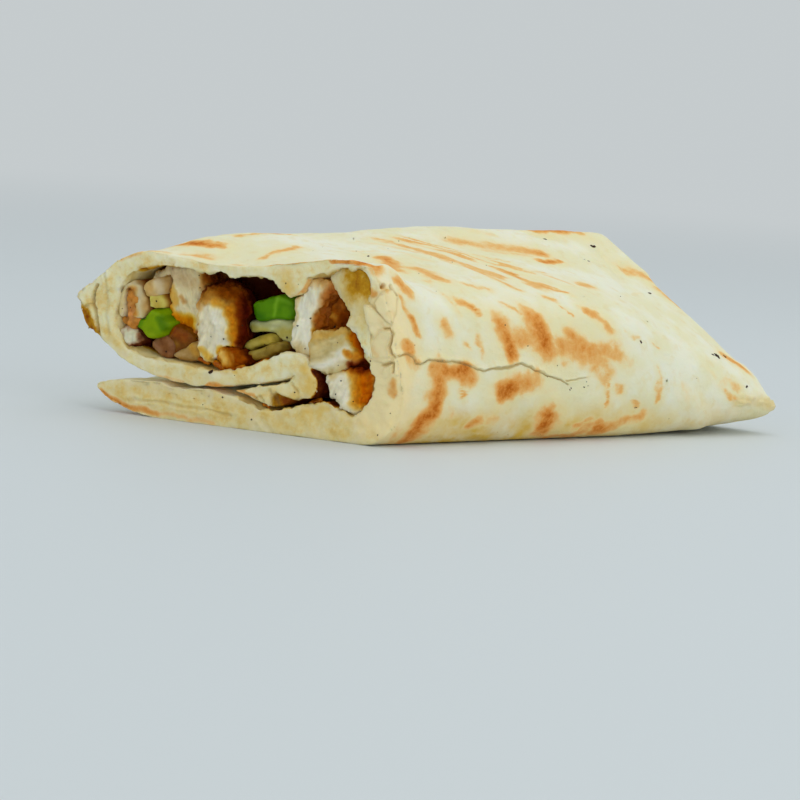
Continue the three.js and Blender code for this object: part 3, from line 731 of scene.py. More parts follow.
# The skin: white dough with clouds of cream, a yellow blush, and warmer round the toast.
cloudy = mix.spread(mix.noise(14 * MM, 3), 0.38, 0.62)
blush = mix.spread(mix.noise(2.6 * MM, 4), 0.5, 0.72)
dough = mix.blend(cloudy, colour(240, 238, 214), colour(236, 230, 190))
dough = mix.blend(mix.sums("MULTIPLY", blush, 0.4), dough, colour(232, 214, 156))
dough = mix.blend(mix.sums("MULTIPLY", mix.reading("warmth"), 0.8), dough, colour(240, 225, 170))
# The sliced crumb is palest along its edge and golden where it is damp.
damp = mix.sums("MULTIPLY_ADD", mix.noise(3.2 * MM, 5, 0.65), 2.0, -0.8)
damp = mix.sums("MULTIPLY_ADD", mix.spread(mix.reading("from_edge"), 0.0, 0.5), 0.2, damp)
crumb_colour = mix.ramp(damp, [
    (0.0, colour(243, 237, 204)), (0.35, colour(240, 229, 178)),
    (0.65, colour(236, 209, 138)), (1.0, colour(226, 180, 92)),
])
# The inner side is straw yellow in clouds.
cloudy_inside = mix.spread(mix.noise(6 * MM, 3), 0.4, 0.6)
inner = mix.blend(cloudy_inside, colour(228, 210, 150), colour(214, 184, 108))
base = mix.blend(mix.reading("skin"), inner, dough)
base = mix.blend(mix.reading("sliced"), base, crumb_colour)
gold_patches = mix.spread(mix.noise(4.5 * MM, 4, 0.6), 0.35, 0.65, 0.55, 1.0)
base = mix.blend(mix.sums("MULTIPLY", mix.reading("golden"), gold_patches), base, colour(228, 188, 84))
base = mix.blend(mix.reading("rim"), base, colour(255, 232, 176))
# The toast goes from cream through orange to brown, broken up finely.
patchy = mix.sums("MULTIPLY_ADD", mix.noise(1.3 * MM, 5, 0.7), 1.1, 0.45)
brown = mix.sums("MULTIPLY", mix.sums("MULTIPLY", mix.reading("toast"), 1.4), patchy)
toasted = mix.ramp(brown, [
    (0.0, colour(240, 230, 186)), (0.18, colour(242, 218, 160)), (0.36, colour(240, 192, 120)),
    (0.6, colour(230, 156, 74)), (0.82, colour(200, 110, 28)), (1.0, colour(164, 78, 10)),
])
base = mix.blend(mix.spread(brown, 0.0, 0.42), base, toasted)
# Soaked-in sauce, and the painted shade laid with it, is straw at its edge, then amber, and dark and
# glossier where it is deep.
soak_shade_edge = mix.sums("MULTIPLY_ADD", mix.noise(1.4 * MM, 4, 0.6), 0.5, -0.25)
soak_shade_depth = mix.sums("ADD", mix.reading("soak_and_shade"), soak_shade_edge)
soak_shade_colour = mix.ramp(soak_shade_depth, [
    (0.2, colour(224, 194, 108)), (0.45, colour(202, 150, 30)),
    (0.7, colour(142, 70, 10)), (1.0, colour(72, 20, 4)),
])
base = mix.blend(mix.spread(soak_shade_depth, 0.08, 0.5), base, soak_shade_colour)
# Splits show the dough under the skin, with painted shadow along the plates' edges, and the hole is
# painted with the shade inside it.
base = mix.blend(mix.sums("MULTIPLY", mix.reading("split_and_shadow"), 0.7), base, colour(190, 164, 104))
base = mix.blend(mix.reading("hole_shade"), base, colour(184, 134, 50))
mix.join(base, surface.inputs["Base Color"])
mix.join(mix.spread(soak_shade_depth, 0.3, 0.7, 0.6, 0.3), surface.inputs["Roughness"])
settle(surface, {
    "Specular IOR Level": 0.05,
    "Subsurface Weight": 0.25,
    "Subsurface Radius": (1.0, 0.7, 0.35),
    "Subsurface Scale": 1.6 * MM,
})
fine = mix.sums("ADD", mix.noise(0.7 * MM, 4), mix.sums("MULTIPLY", mix.noise(2.5 * MM, 3), 1.5))
mix.join(mix.relief(fine, 0.12 * MM), surface.inputs["Normal"])
bread.data.materials.append(bread_look)
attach(bread, "root")
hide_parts("flatbread")

# ---- Inner fold ----
# Beside the near wall the inside layer came away and leans over the filling: soaked amber with
# oil at the top, drier below, torn white at its lowest corner. It hangs from the roll's roof.
# Rows from the top down: (height, across at the wall, behind there, across at the free edge,
# behind there).
FOLD_ROWS = [
    (37.5, 10.6, 1.6, 21.0, 4.6), (35.0, 8.8, 1.1, 20.2, 4.0), (33.0, 8.2, 0.8, 19.3, 3.6),
    (31.0, 8.8, 0.7, 16.5, 3.2), (29.0, 8.6, 0.6, 15.3, 3.0), (27.4, 8.4, 0.5, 14.3, 2.6),
    (26.2, 8.2, 0.5, 14.2, 1.8), (25.4, 8.1, 0.5, 13.9, 1.3), (23.6, 7.8, 0.4, 10.8, 1.0),
    (22.0, 7.5, 0.4, 9.7, 0.7), (19.0, 6.9, 0.4, 7.8, 0.5),
]
FOLD_STEPS = 30
FOLD_THICKNESS = 1.0 * MM


def at_cut(across, height, behind):
    """A point by millimetres across the slanted cut, above the table and behind the cut."""
    return near_corner + Vector((
        (behind - across * math.sin(CUT_SLANT)) * MM,
        across * math.cos(CUT_SLANT) * MM,
        height * MM,
    ))


fold_points = []
for row in np.linspace(0, len(FOLD_ROWS) - 1, FOLD_STEPS * 2):
    up, wall, wall_behind, free, free_behind = [
        np.interp(row, range(len(FOLD_ROWS)), column) for column in zip(*FOLD_ROWS)
    ]
    for share in np.linspace(-0.08, 1, FOLD_STEPS):
        swell = 0.9 * math.sin(math.pi * max(share, 0)) * min(1, (free - wall) / 8)
        back = wall_behind + (free_behind - wall_behind) * abs(share) ** 1.4 - swell
        fold_points.append(at_cut(wall + (free - wall) * share, up, back))
fold_faces = [
    (a, a + 1, a + 1 + FOLD_STEPS, a + FOLD_STEPS)
    for a in range(len(fold_points) - FOLD_STEPS) if a % FOLD_STEPS < FOLD_STEPS - 1
]
fold_mesh = bpy.data.meshes.new("inner_fold")
fold_mesh.from_pydata(fold_points, [], fold_faces)
fold = new_piece("inner_fold", fold_mesh)


def apply_all(piece):
    """Keeps the worked shape and clears the steps that made it."""
    worked = piece.evaluated_get(bpy.context.evaluated_depsgraph_get())
    made = bpy.data.meshes.new_from_object(worked)
    piece.modifiers.clear()
    piece.data = made
    smooth_shaded(piece)


thickened = fold.modifiers.new("thickness", "SOLIDIFY")
thickened.thickness = FOLD_THICKNESS
thickened.offset = 0
fold.modifiers.new("round", "SUBSURF").levels = 1
apply_all(fold)
places = points_of(fold)
across, height, behind = cut_places(places)
row_heights, _, _, row_free_edges, _ = np.transpose(FOLD_ROWS)
free_edge = np.interp(-height, -row_heights, row_free_edges)
tatters = step(2.5, 0.2, free_edge - across)
push = bumps(places, (0.3, 3.2, 33), (0.14, 1.1, 34)) + tatters * bumps(places, (0.35, 0.9, 36))
places += moves(normals_of(fold), push)
move_points(fold, places)
drift = bumps(places, (1.2, 3, 35))
amber = step(20, 11.5, across + drift) * step(27, 33, height + drift)
mark(fold, "soak_and_shade", 0.5 * np.maximum(amber, 0.25 * step(30, 33, height + drift)))
mark(fold, "sliced", 1 - amber)
mark(fold, "golden", 0.55 * between(23, 27, 31, 36, height))
mark(fold, "from_edge", np.full(len(places), 0.05))
fold.data.materials.append(bread_look)
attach(fold, "root")

# ---- Packed filling ----
# Behind the pieces at the cut the roll is packed with more of the same chicken and vegetables,
# pressed together in dark brown sauce. It runs through to the folded end.


def fine_copy(node, name, grain):
    """A finely divided copy of a solid, ready to be worked."""
    piece = new_piece(name, frame["nodes"][node].data.copy())
    piece.data.materials.clear()
    remesh = piece.modifiers.new("fine", "REMESH")
    remesh.mode = "VOXEL"
    remesh.voxel_size = grain
    apply_all(piece)
    return piece


core = fine_copy("filling_core", "filling_packed", grain=0.9 * MM)
soften(core, 3)
points = points_of(core)
_, _, depth = cut_places(points)
lumps = bumps(points, (1.1, 6, 21), (0.5, 2.5, 22))
points += moves(normals_of(core), (lumps - 0.5) * step(34, 24, depth))
move_points(core, points)
core_look, mix, surface = new_material("packed_filling")
bits = mix.ramp(mix.noise(5 * MM, 3), [
    (0.3, colour(84, 16, 4)), (0.5, colour(120, 36, 8)), (0.72, colour(150, 74, 24)),
])
mix.join(bits, surface.inputs["Base Color"])
settle(surface, {
    "Roughness": 0.4,
    "Specular IOR Level": 0.05,
    "Coat Weight": 0.03,
    "Coat Roughness": 0.2,
})
mix.join(mix.relief(mix.noise(1.6 * MM, 4), 0.5 * MM), surface.inputs["Normal"])
core.data.materials.append(core_look)
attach(core, "root")
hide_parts("filling_core")

# ---- Chicken ----
# Grilled chicken breast in pieces, white and stringy where the knife went through, browned and
# wet with orange sauce outside. They lie across the cut, pressed in by hand.
TAN, GOLD, ORANGE, DARK = (220, 184, 108), (232, 170, 48), (208, 120, 0), (70, 22, 0)
BROWNED_AND_SHADED_SIDE, IN_THE_DARK = (160, 86, 10), (64, 18, 4)
# How far a piece swells beyond its solid, in millimetres, and the two that swell more.
CHICKEN_SWELL = 0.6
SWELLING_MORE = {"chicken_right": 0.9, "chicken_low": 0.75}
# Each: its flesh, which way its fibres lean on the cut in degrees, how far in it is painted with
# shade, and its strokes: stains, painted shade and a painted highlight, each as (across, height,
# across, height, half width, strength, colour). A stroke runs back into the piece aslant, the way the
# pieces lie.
CHICKEN = {
    "chicken_centre": ((240, 230, 198), 12, 5.0, [
        (50, 24, 49.6, 20, 0.7, 0.5, TAN), (49.6, 26.4, 48, 28.6, 1.2, 0.8, (210, 152, 76)),
        (48.4, 28.8, 43.4, 30.4, 1.7, 1.0, (172, 112, 36)),
        (45.5, 27.4, 41.6, 26.2, 1.0, 0.9, (224, 160, 50)),
        (41.2, 26, 39.8, 19, 1.3, 0.95, (212, 136, 24)),
        (43.4, 30.4, 38.6, 28.6, 2.0, 1.0, (128, 62, 4)), (39.2, 27, 38.4, 19, 1.1, 1.0, (136, 62, 0)),
        # Down its right side: browned crust, with painted shade where it sinks into the filling.
        (36.6, 29, 36.8, 17, 1.9, 1.0, (72, 14, 0)), (47.8, 16, 45.6, 14.6, 0.8, 0.6, GOLD),
        (43.4, 16.4, 40.4, 17.4, 0.8, 0.8, ORANGE), (45.6, 24.4, 43.4, 18.4, 0.9, 0.6, (248, 244, 228)),
    ]),
    "chicken_back": ((238, 224, 180), -20, 12.5, [
        (60.2, 29.6, 59.4, 27.6, 0.9, 0.8, (240, 236, 216)),
        (56, 31.5, 52, 30.5, 1.5, 0.5, (218, 188, 140)),
        (57.4, 28.6, 56.4, 25.8, 1.2, 0.9, (234, 182, 80)),
        (57.6, 24.4, 54.6, 21.4, 0.9, 0.95, (224, 142, 20)),
        (54.8, 21.6, 51.6, 21.6, 1.3, 0.95, (226, 142, 8)),
        (53.4, 19.6, 50.4, 18.6, 1.2, 0.95, (142, 46, 0)),
        (49.0, 31, 47.6, 28, 1.2, 0.7, (190, 132, 64)),
        # Its top towards the hollow on the right: browned, with painted shade.
        (47.6, 32.4, 44, 31.2, 1.8, 0.95, (148, 80, 12)), (46, 33.2, 40, 32.4, 2.2, 1.0, (110, 44, 0)),
        (54.5, 27.2, 53.5, 26, 0.5, 0.6, (208, 150, 80)),
    ]),
    "chicken_strip": ((240, 234, 208), 4, 10.5, [
        (23.6, 34.8, 17.6, 34.2, 1.6, 0.85, (216, 170, 100)), (25.3, 31, 25.6, 24, 0.6, 0.4, TAN),
        # A painted highlight down its middle.
        (23.6, 28, 22.4, 22, 1.1, 0.6, (248, 244, 228)),
        (24.6, 19, 21.6, 15.4, 1.5, 0.8, (214, 188, 130)),
        # Its right side: browned, with painted shade on it.
        (16.4, 32.6, 18, 30.4, 1.7, 1.0, (196, 132, 74)),
        (18, 30.4, 18.9, 25.4, 1.7, 1.0, (204, 136, 66)),
        (18.9, 25.6, 19.2, 20.6, 1.7, 1.0, (172, 94, 26)), (15.4, 31, 16, 22, 2.6, 1.0, (168, 92, 32)),
        (20.6, 23, 20.4, 21.4, 0.7, 0.8, ORANGE), (20.8, 24, 21, 16, 0.7, 0.5, TAN),
    ]),
    "chicken_brown": ((164, 90, 16), 8, 14.0, [
        (17, 31, 14.6, 28.6, 1.4, 0.6, (170, 100, 44)),
        (17.2, 26.8, 16.6, 26.6, 0.8, 0.8, (210, 148, 54)), (18.8, 30.4, 18.7, 30.0, 0.4, 1.0, DARK),
        (20.4, 25.5, 20.3, 25.2, 0.35, 1.0, DARK), (14, 25.4, 12.4, 26.4, 1.2, 0.7, (112, 42, 0)),
        (20.4, 23, 19, 23.4, 1.0, 0.8, (194, 104, 12)),
    ]),
    "chicken_right": ((216, 196, 140), 60, 6.0, [
        (19.8, 21.8, 13, 24.4, 0.9, 0.8, (220, 174, 84)),
        (19.4, 15.2, 12.4, 19.4, 1.3, 0.95, (246, 240, 220)),
        (17.4, 20.4, 13.4, 21, 0.6, 0.4, (200, 178, 120)),
        (11.4, 23.6, 9, 20, 1.3, 0.95, (194, 102, 0)), (9.6, 22.6, 7.9, 18.6, 0.9, 0.95, (150, 62, 0)),
        # The second stroke here is a painted shadow low on its right, by the wall.
        (12.4, 19, 9.6, 18.6, 0.7, 0.7, (210, 120, 20)), (11.4, 16.9, 8.2, 17.4, 0.9, 1.0, (98, 30, 0)),
        (21.6, 21.4, 20.8, 18.2, 0.8, 0.6, (214, 160, 84)),
    ]),
    "chicken_low": ((238, 228, 196), 25, 5.0, [
        (13.6, 13, 11.9, 8, 1.4, 0.5, (248, 243, 226)), (15.6, 14, 13, 15.2, 0.8, 0.6, (218, 186, 120)),
        (10.4, 15, 9.6, 8.6, 1.1, 0.9, (226, 156, 44)), (8.6, 15, 8, 9.8, 1.3, 1.0, (212, 112, 0)),
        (6.6, 14.6, 6.6, 10, 1.0, 0.9, (184, 86, 0)), (12.6, 16, 7, 16.2, 0.9, 0.95, (152, 70, 0)),
        # Painted shade in the groove over its top right.
        (10.5, 17, 7, 17.2, 0.9, 1.0, (84, 14, 0)),
    ]),
    "chicken_stub": ((156, 76, 0), 8, 4.0, [
        (42.5, 15.6, 42.0, 14.7, 1.3, 1.0, (240, 196, 104)),
        (40.4, 16.2, 40.0, 14.8, 0.4, 0.7, (206, 140, 60)),
        (44.6, 16.2, 44.2, 14.6, 0.5, 0.7, (206, 132, 30)),
    ]),
    "chicken_far": ((206, 142, 66), 0, 5.0, [
        (67, 23.6, 66, 22.4, 1.2, 0.7, (226, 162, 104)),
        (69.4, 26.6, 69.3, 26, 0.6, 0.9, (172, 88, 24)),
    ]),
    "chicken_chip": ((228, 224, 194), 0, 3.2, []),
}


def plain_paint(points, red_green_blue):
    return np.tile(np.array(colour(*red_green_blue)), (len(points), 1))


def lay_paint(paint, share, red_green_blue):
    """Washes a colour over the points, as strongly as share says for each, like a thin sauce."""
    darkest = 0.0015
    share = np.clip(share, 0, 1)[:, None]
    wash = np.maximum(np.array(colour(*red_green_blue)), darkest)
    return np.maximum(paint, darkest) ** (1 - share) * wash ** share


def lay_strokes(paint, stains_shade_and_highlights, across, height, reach, solid):
    """Lays on each stroke in turn, round the line that it follows: stains, painted shade and painted
    highlights alike.
    """
    for painted_stroke in stains_shade_and_highlights:
        paint = lay_paint(paint, stroke_cover(across, height, painted_stroke, reach, solid), painted_stroke[6])
    return paint


def keep_paint(piece, paint):
    layer = piece.data.attributes.new("paint", "FLOAT_COLOR", "POINT")
    layer.data.foreach_set("color", np.clip(paint, 0, 1).astype(np.float32).ravel())


# What all the moist filling shares: its paint broken up by richer, smoother blotches, a mask of
# wet spots, and a fine grain on the surface.
moist = bpy.data.node_groups.new("moist_filling", "ShaderNodeTree")
for label, kind in [("Paint", "Color"), ("Blotch Size", "Float"), ("Blotch Share", "Float"),
                    ("Relief", "Float")]:
    moist.interface.new_socket(name=label, in_out="INPUT", socket_type="NodeSocket" + kind)
for label, kind in [("Color", "Color"), ("Roughness", "Float"), ("Wetness", "Float"),
                    ("Normal", "Vector")]:
    moist.interface.new_socket(name=label, in_out="OUTPUT", socket_type="NodeSocket" + kind)
mix = Mixer(moist)
given = mix.node("NodeGroupInput").outputs
blotches = mix.node("ShaderNodeTexNoise")
mix.join(mix.place(), blotches.inputs["Vector"])
mix.join(mix.sums("DIVIDE", 1.0, given["Blotch Size"]), blotches.inputs["Scale"])
blotches.inputs["Detail"].default_value = 4
spotted = mix.spread(blotches.outputs["Fac"], 0.35, 0.68)
richer = mix.node("ShaderNodeGamma")
mix.join(given["Paint"], richer.inputs["Color"])
richer.inputs["Gamma"].default_value = 1.5
blotched = mix.sums("MULTIPLY", spotted, given["Blotch Share"])
shade = mix.blend(blotched, given["Paint"], richer.outputs["Color"])
dew = mix.spread(mix.noise(1.2 * MM, 3), 0.48, 0.7)
grain = mix.sums("ADD", mix.noise(0.5 * MM, 4), mix.sums("MULTIPLY", mix.noise(1.6 * MM, 3), 1.4))
grainy = mix.relief(grain, given["Relief"])
given_out = mix.node("NodeGroupOutput").inputs
mix.join(shade, given_out["Color"])
mix.join(mix.sums("MULTIPLY_ADD", spotted, -0.2, 0.55), given_out["Roughness"])
mix.join(dew, given_out["Wetness"])
mix.join(grainy, given_out["Normal"])


def moist_material(name, blotch_size, blotch_share, relief):
    look, mix, surface = new_material(name)
    moisture = mix.node("ShaderNodeGroup", node_tree=moist)
    paint = mix.node("ShaderNodeAttribute", attribute_name="paint")
    mix.join(paint.outputs["Color"], moisture.inputs["Paint"])
    settle(moisture, {"Blotch Size": blotch_size, "Blotch Share": blotch_share, "Relief": relief})
    mix.join(moisture.outputs["Color"], surface.inputs["Base Color"])
    mix.join(moisture.outputs["Normal"], surface.inputs["Normal"])
    return look, mix, surface, moisture


chicken_look, mix, surface, moisture = moist_material(
    "grilled_chicken", blotch_size=1.7 * MM, blotch_share=0.5, relief=0.1 * MM)
mix.join(moisture.outputs["Roughness"], surface.inputs["Roughness"])
mix.join(mix.sums("MULTIPLY", moisture.outputs["Wetness"], 0.04), surface.inputs["Coat Weight"])
settle(surface, {
    "Specular IOR Level": 0.0,
    "Subsurface Weight": 0.18,
    "Subsurface Radius": (1.0, 0.6, 0.3),
    "Subsurface Scale": 1.2 * MM,
    "Coat Roughness": 0.14,
})


# A few pieces stand out a little towards the knife and lean to the far side, by these mm.
STANDING_OUT = {
    "pepper_left": (1.1, 0.6), "onion_chip": (1.4, 1.0), "onion_tall": (0.4, 1.0),
    "onion_ring": (0.2, 0.6), "chicken_chip": (0.2, 0.9), "chicken_right": (0.3, 0),
    "chicken_far": (0.2, 0.4),
}


def filling_piece(node, look, grain, seed, swell, lumpy, rounds):
    """A piece of filling worked up from its solid: melted, swollen to its neighbours, lumpy."""
    piece = fine_copy(node, node + "_piece", grain)
    soften(piece, rounds)
    points = points_of(piece)
    lift = swell + bumps(points, (lumpy, 4, seed), (0.45 * lumpy, 1.5, seed + 1))
    points += moves(normals_of(piece), lift)
    out, over = STANDING_OUT.get(node, (0, 0))
    points += (out * cut_normal + over * along_cut) * MM
    move_points(piece, points)
    piece.data.materials.append(look)
    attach(piece, "root")
    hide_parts(node)
    return piece


for seed, (node, (flesh, fibres_lean, shade_from, stains_shade_and_highlights)) in enumerate(CHICKEN.items()):
    swell = SWELLING_MORE.get(node, CHICKEN_SWELL)
    piece = filling_piece(node, chicken_look, grain=0.23 * MM, seed=40 + 3 * seed,
                          swell=swell, lumpy=0.5, rounds=5)
    points = points_of(piece)
    across, height, behind = cut_places(points)
    # Long strands of muscle, with crumbs of torn meat between them.
    lean = math.radians(fibres_lean)
    crosswise = across * math.cos(lean) + height * math.sin(lean)
    lengthwise = height * math.cos(lean) - across * math.sin(lean)
    strands = np.stack([crosswise / 0.7, lengthwise / 3.0, behind / 3.0], axis=1)
    strands += bumps(points, (0.6, 2.5, 60 + seed))[:, None]
    fibre = 0.6 * crumple(strands, 1.0, 80 + seed) + 0.4 * crumple(strands, 0.5, 81 + seed)
    torn = bumps(points, (0.26, 1.3, 100 + seed), (0.12, 0.6, 150 + seed))
    points += moves(normals_of(piece), 0.36 * fibre + torn)
    if node == "chicken_right":
        # Its far end is pressed on against the strip beside it.
        pressed = step(18.4, 21, across) * step(10, 5, behind)
        points += moves(along_cut + 0.8 * cut_normal, pressed)
    if node in ("chicken_back", "chicken_centre"):
        # Further in, their tops sink away from the roof.
        points[:, 2] -= 0.6 * np.maximum(behind - 6, 0) * MM * step(20, 29, height)
    move_points(piece, points)
    wander = bumps(points, (0.8, 2.2, 70 + seed), (0.3, 0.8, 71 + seed))
    uneven = 0.2 * fibre + bumps(points, (0.05, 3, 90 + seed))
    paint = plain_paint(points, flesh) * (1 + uneven)[:, None]
    aslant = seen_across(across, behind) + 0.7 * wander
    paint = lay_strokes(paint, stains_shade_and_highlights, aslant, height + 0.6 * wander, reach=1.8, solid=0.15)
    # The sides turned away from the cut are browned, and painted with shade where they sink in.
    turned_away = 1 - step(0.15, 0.6, normals_of(piece) @ cut_normal)
    turned_away *= step(1.8, 4.0, behind + wander)
    paint = lay_paint(paint, 0.75 * turned_away, BROWNED_AND_SHADED_SIDE)
    # Painted shade: deeper in, each piece darkens to near black-brown.
    shade_far_in = step(shade_from - 2.5, shade_from + 1.5, behind + 1.5 * wander)
    paint = lay_paint(paint, shade_far_in, IN_THE_DARK)
    # The browned parts are crusted and rough, the white ones smoother.
    browned = step(0.62, 0.3, paint[:, 1])
    crust = browned * bumps(points, (0.3, 1.0, 160 + seed), (0.2, 0.5, 161 + seed))
    move_points(piece, points_of(piece) + moves(normals_of(piece), crust))
    keep_paint(piece, paint * (1 + 0.35 * crust)[:, None])

# ---- Green pepper ----
# Two dice of raw green pepper, glossy skin outside and paler wet flesh at the knife.
DEEP_GREEN = (34, 62, 2)
# Each: its green, and where it is darker, with painted highlights along its ridge and top edge,
# in the chicken's terms.
PEPPERS = {
    "pepper_left": ((132, 162, 0), [
        (66.6, 20.2, 65, 22.6, 1.2, 0.7, (64, 118, 2)), (60.4, 22, 59.4, 20, 0.8, 0.6, (74, 116, 4)),
        (64.6, 18.2, 61.8, 18, 1.0, 0.5, (150, 172, 20)),
        # A painted highlight along its top edge.
        (64, 23.2, 61.4, 23.2, 0.5, 0.5, (146, 178, 40)),
    ]),
    "pepper_mid": ((96, 148, 6), [
        (39.6, 25.4, 37.6, 24.4, 1.0, 0.7, (62, 118, 4)),
        # Painted highlights down its ridge and along its top edge.
        (33.9, 29.4, 34.6, 25, 0.5, 0.6, (156, 200, 76)),
        (33.8, 29.2, 30.6, 28.6, 0.6, 0.5, (140, 188, 60)),
        (36, 24.4, 32, 24.6, 0.7, 0.5, (70, 124, 6)), (32, 27, 31.6, 26, 0.9, 0.35, (124, 172, 30)),
    ]),
}
pepper_look, _, surface, _ = moist_material(
    "green_pepper", blotch_size=2.2 * MM, blotch_share=0.35, relief=0.05 * MM)
settle(surface, {
    "Roughness": 0.3,
    "Specular IOR Level": 0.05,
    "Subsurface Weight": 0.2,
    "Subsurface Radius": (0.5, 1.0, 0.1),
    "Subsurface Scale": 1.2 * MM,
    "Coat Weight": 0.05,
    "Coat Roughness": 0.1,
})
for seed, (node, (green, shades)) in enumerate(PEPPERS.items()):
    piece = filling_piece(node, pepper_look, grain=0.25 * MM, seed=90 + 3 * seed,
                          swell=0.2, lumpy=0.14, rounds=5)
    points = points_of(piece)
    across, height, behind = cut_places(points)
    wander = bumps(points, (0.3, 1.5, 95 + seed))
    paint = plain_paint(points, green)
    paint = lay_strokes(paint, shades, across + wander, height + wander, reach=1.7, solid=0.1)
    # Painted shade: further back the pepper darkens to deep green.
    shade_far_in = step(3, 7, behind - behind.min())
    keep_paint(piece, lay_paint(paint, 0.7 * shade_far_in, DEEP_GREEN))

# ---- Onion ----
# Soft cooked onion in rings, chips and strips, half clear, stained by the sauce round it.
RUST, SOAKED_AND_SHADED_BROWN = (166, 80, 0), (96, 42, 4)
# How far a piece swells beyond its solid, in millimetres, and the ones that differ.
ONION_SWELL = 0.25
SWELLING_OTHERWISE = {
    "onion_ring": -0.1, "onion_tall": 0.0, "onion_pink": 0.6, "onion_brown": 0.6, "onion_low": 0.5,
}
# Each: its own colour, and its stains in the chicken's terms, with painted shade on the ring's
# right limb and a painted highlight on the tall piece.
ONIONS = {
    "onion_ring": ((224, 208, 166), [
        (69.4, 28.8, 69.8, 23, 0.7, 0.3, TAN), (67.2, 27.8, 66.3, 22.6, 1.0, 1.0, (212, 136, 50)),
        # Painted shade on the side of its right limb.
        (63.0, 29.6, 62.6, 23, 1.2, 0.9, (210, 166, 96)),
    ]),
    "onion_chip": ((222, 210, 110), [
        (62, 25.6, 61.4, 24.2, 0.8, 0.5, (196, 160, 70)),
    ]),
    "onion_tall": ((214, 178, 112), [
        # Near white at its upper left: pale onion with a painted highlight on it.
        (61.8, 30, 61, 27.4, 1.3, 0.8, (232, 220, 190)), (64, 26.4, 62, 26.4, 0.8, 0.6, (190, 150, 76)),
    ]),
    "onion_pink": ((154, 106, 66), [
        (60, 16.8, 59, 15.2, 0.9, 0.6, (130, 76, 30)), (62, 16, 61, 14.6, 0.5, 0.5, (180, 140, 112)),
    ]),
    "onion_brown": ((134, 78, 6), [
        (58.4, 19.4, 55, 18.4, 1.0, 0.6, RUST), (58.4, 16, 57, 16.4, 0.7, 0.6, (186, 150, 70)),
    ]),
    "onion_low": ((180, 144, 84), [
        (52.6, 16.6, 51.2, 15, 0.9, 0.5, GOLD), (56.6, 14.4, 54.6, 14.6, 0.6, 0.4, (216, 196, 160)),
    ]),
    "onion_mid": ((202, 202, 146), [
        (40, 21.6, 37, 21.6, 0.8, 0.6, (212, 196, 84)), (31, 22, 34, 20.6, 1.2, 0.7, (206, 186, 84)),
        (41, 22, 39.8, 21.8, 0.9, 0.4, (150, 140, 60)),
    ]),
    "onion_strip_upper": ((178, 158, 66), [
        (40.6, 18, 37, 19.4, 0.5, 0.6, (206, 190, 96)),
        (36.4, 19.6, 34.6, 19.8, 0.8, 0.7, (206, 178, 70)),
    ]),
    "onion_strip_lower": ((164, 138, 56), [
        (38.6, 16, 35.4, 17.6, 0.5, 0.6, (196, 176, 90)), (40, 15.6, 38.8, 15.6, 0.7, 0.8, RUST),
    ]),
}
onion_look, _, surface, _ = moist_material(
    "cooked_onion", blotch_size=1.4 * MM, blotch_share=0.5, relief=0.05 * MM)
settle(surface, {
    "Roughness": 0.28,
    "Specular IOR Level": 0.05,
    "Subsurface Weight": 0.5,
    "Subsurface Radius": (1.0, 0.9, 0.4),
    "Subsurface Scale": 1.5 * MM,
    "Coat Weight": 0.12,
    "Coat Roughness": 0.12,
})
for seed, (node, (flesh, stains_shade_and_highlights)) in enumerate(ONIONS.items()):
    swell = SWELLING_OTHERWISE.get(node, ONION_SWELL)
    piece = filling_piece(node, onion_look, grain=0.24 * MM, seed=110 + 3 * seed,
                          swell=swell, lumpy=0.2, rounds=4)
    points = points_of(piece)
    across, height, behind = cut_places(points)
    layered = np.stack([across / 2.4, height / 0.9, behind / 3], axis=1)
    layered += bumps(points, (0.5, 2, 120 + seed))[:, None]
    veins = crumple(layered, 1.0, 121 + seed)
    points += moves(normals_of(piece), 0.07 * veins)
    move_points(piece, points)
    wander = bumps(points, (0.4, 1.6, 122 + seed))
    inward = behind - behind.min()
    paint = plain_paint(points, flesh) * (1 + 0.12 * veins)[:, None]
    aslant = seen_across(across, inward) + wander
    paint = lay_strokes(paint, stains_shade_and_highlights, aslant, height + wander, reach=1.8, solid=0.1)
    # Further back the onion goes dark brown, soaked with sauce and painted with shade; the tall piece
    # only further in.
    clear_to = 4.5 if node == "onion_tall" else 1.4
    shade_far_in = step(clear_to, clear_to + 2.8, inward + 1.2 * wander)
    keep_paint(piece, lay_paint(paint, 0.9 * shade_far_in, SOAKED_AND_SHADED_BROWN))

# ---- Sauce ----
# The orange-brown sauce the chicken was cooked in, run together in thick glossy drops in the
# hollows between the pieces and against the bread.
# Runs of sauce: points as (across, height, behind), then the thickness of the run.
SAUCE_RUNS = [
    ([(46.4, 13.6, 2.4), (44.6, 12.9, 2.0), (41.5, 12.9, 1.8), (39.6, 13.6, 2.4)], 0.7),
    ([(45.4, 16.6, 2.6), (45.2, 15, 2.2)], 0.6),
    ([(9.4, 19.4, 4.4), (8.6, 18.2, 4.2)], 0.6),
    ([(7.2, 14.6, 2.8), (7.0, 12.0, 2.6)], 0.5), ([(11.6, 22.8, 3.8), (10.2, 20.8, 3.4)], 0.6),
    ([(57.0, 18.6, 5.2), (54.4, 17.6, 4.8)], 1.0), ([(38, 13.8, 4.2), (35.4, 15.2, 4.6)], 0.8),
    ([(51, 14.0, 3.0), (48.4, 13.4, 2.6)], 0.5), ([(23.6, 7.0, 3.6), (21.2, 8.0, 3.6)], 0.8),
    ([(33.0, 6.0, 1.8), (31.8, 5.5, 1.8)], 0.45), ([(27, 16.8, 4.4), (23.4, 15.6, 4.2)], 0.7),
]


def piece_from(shape, name):
    """Turns a shape that was being built into a piece of the scene."""
    mesh = bpy.data.meshes.new(name)
    shape.to_mesh(mesh)
    shape.free()
    return new_piece(name, mesh)


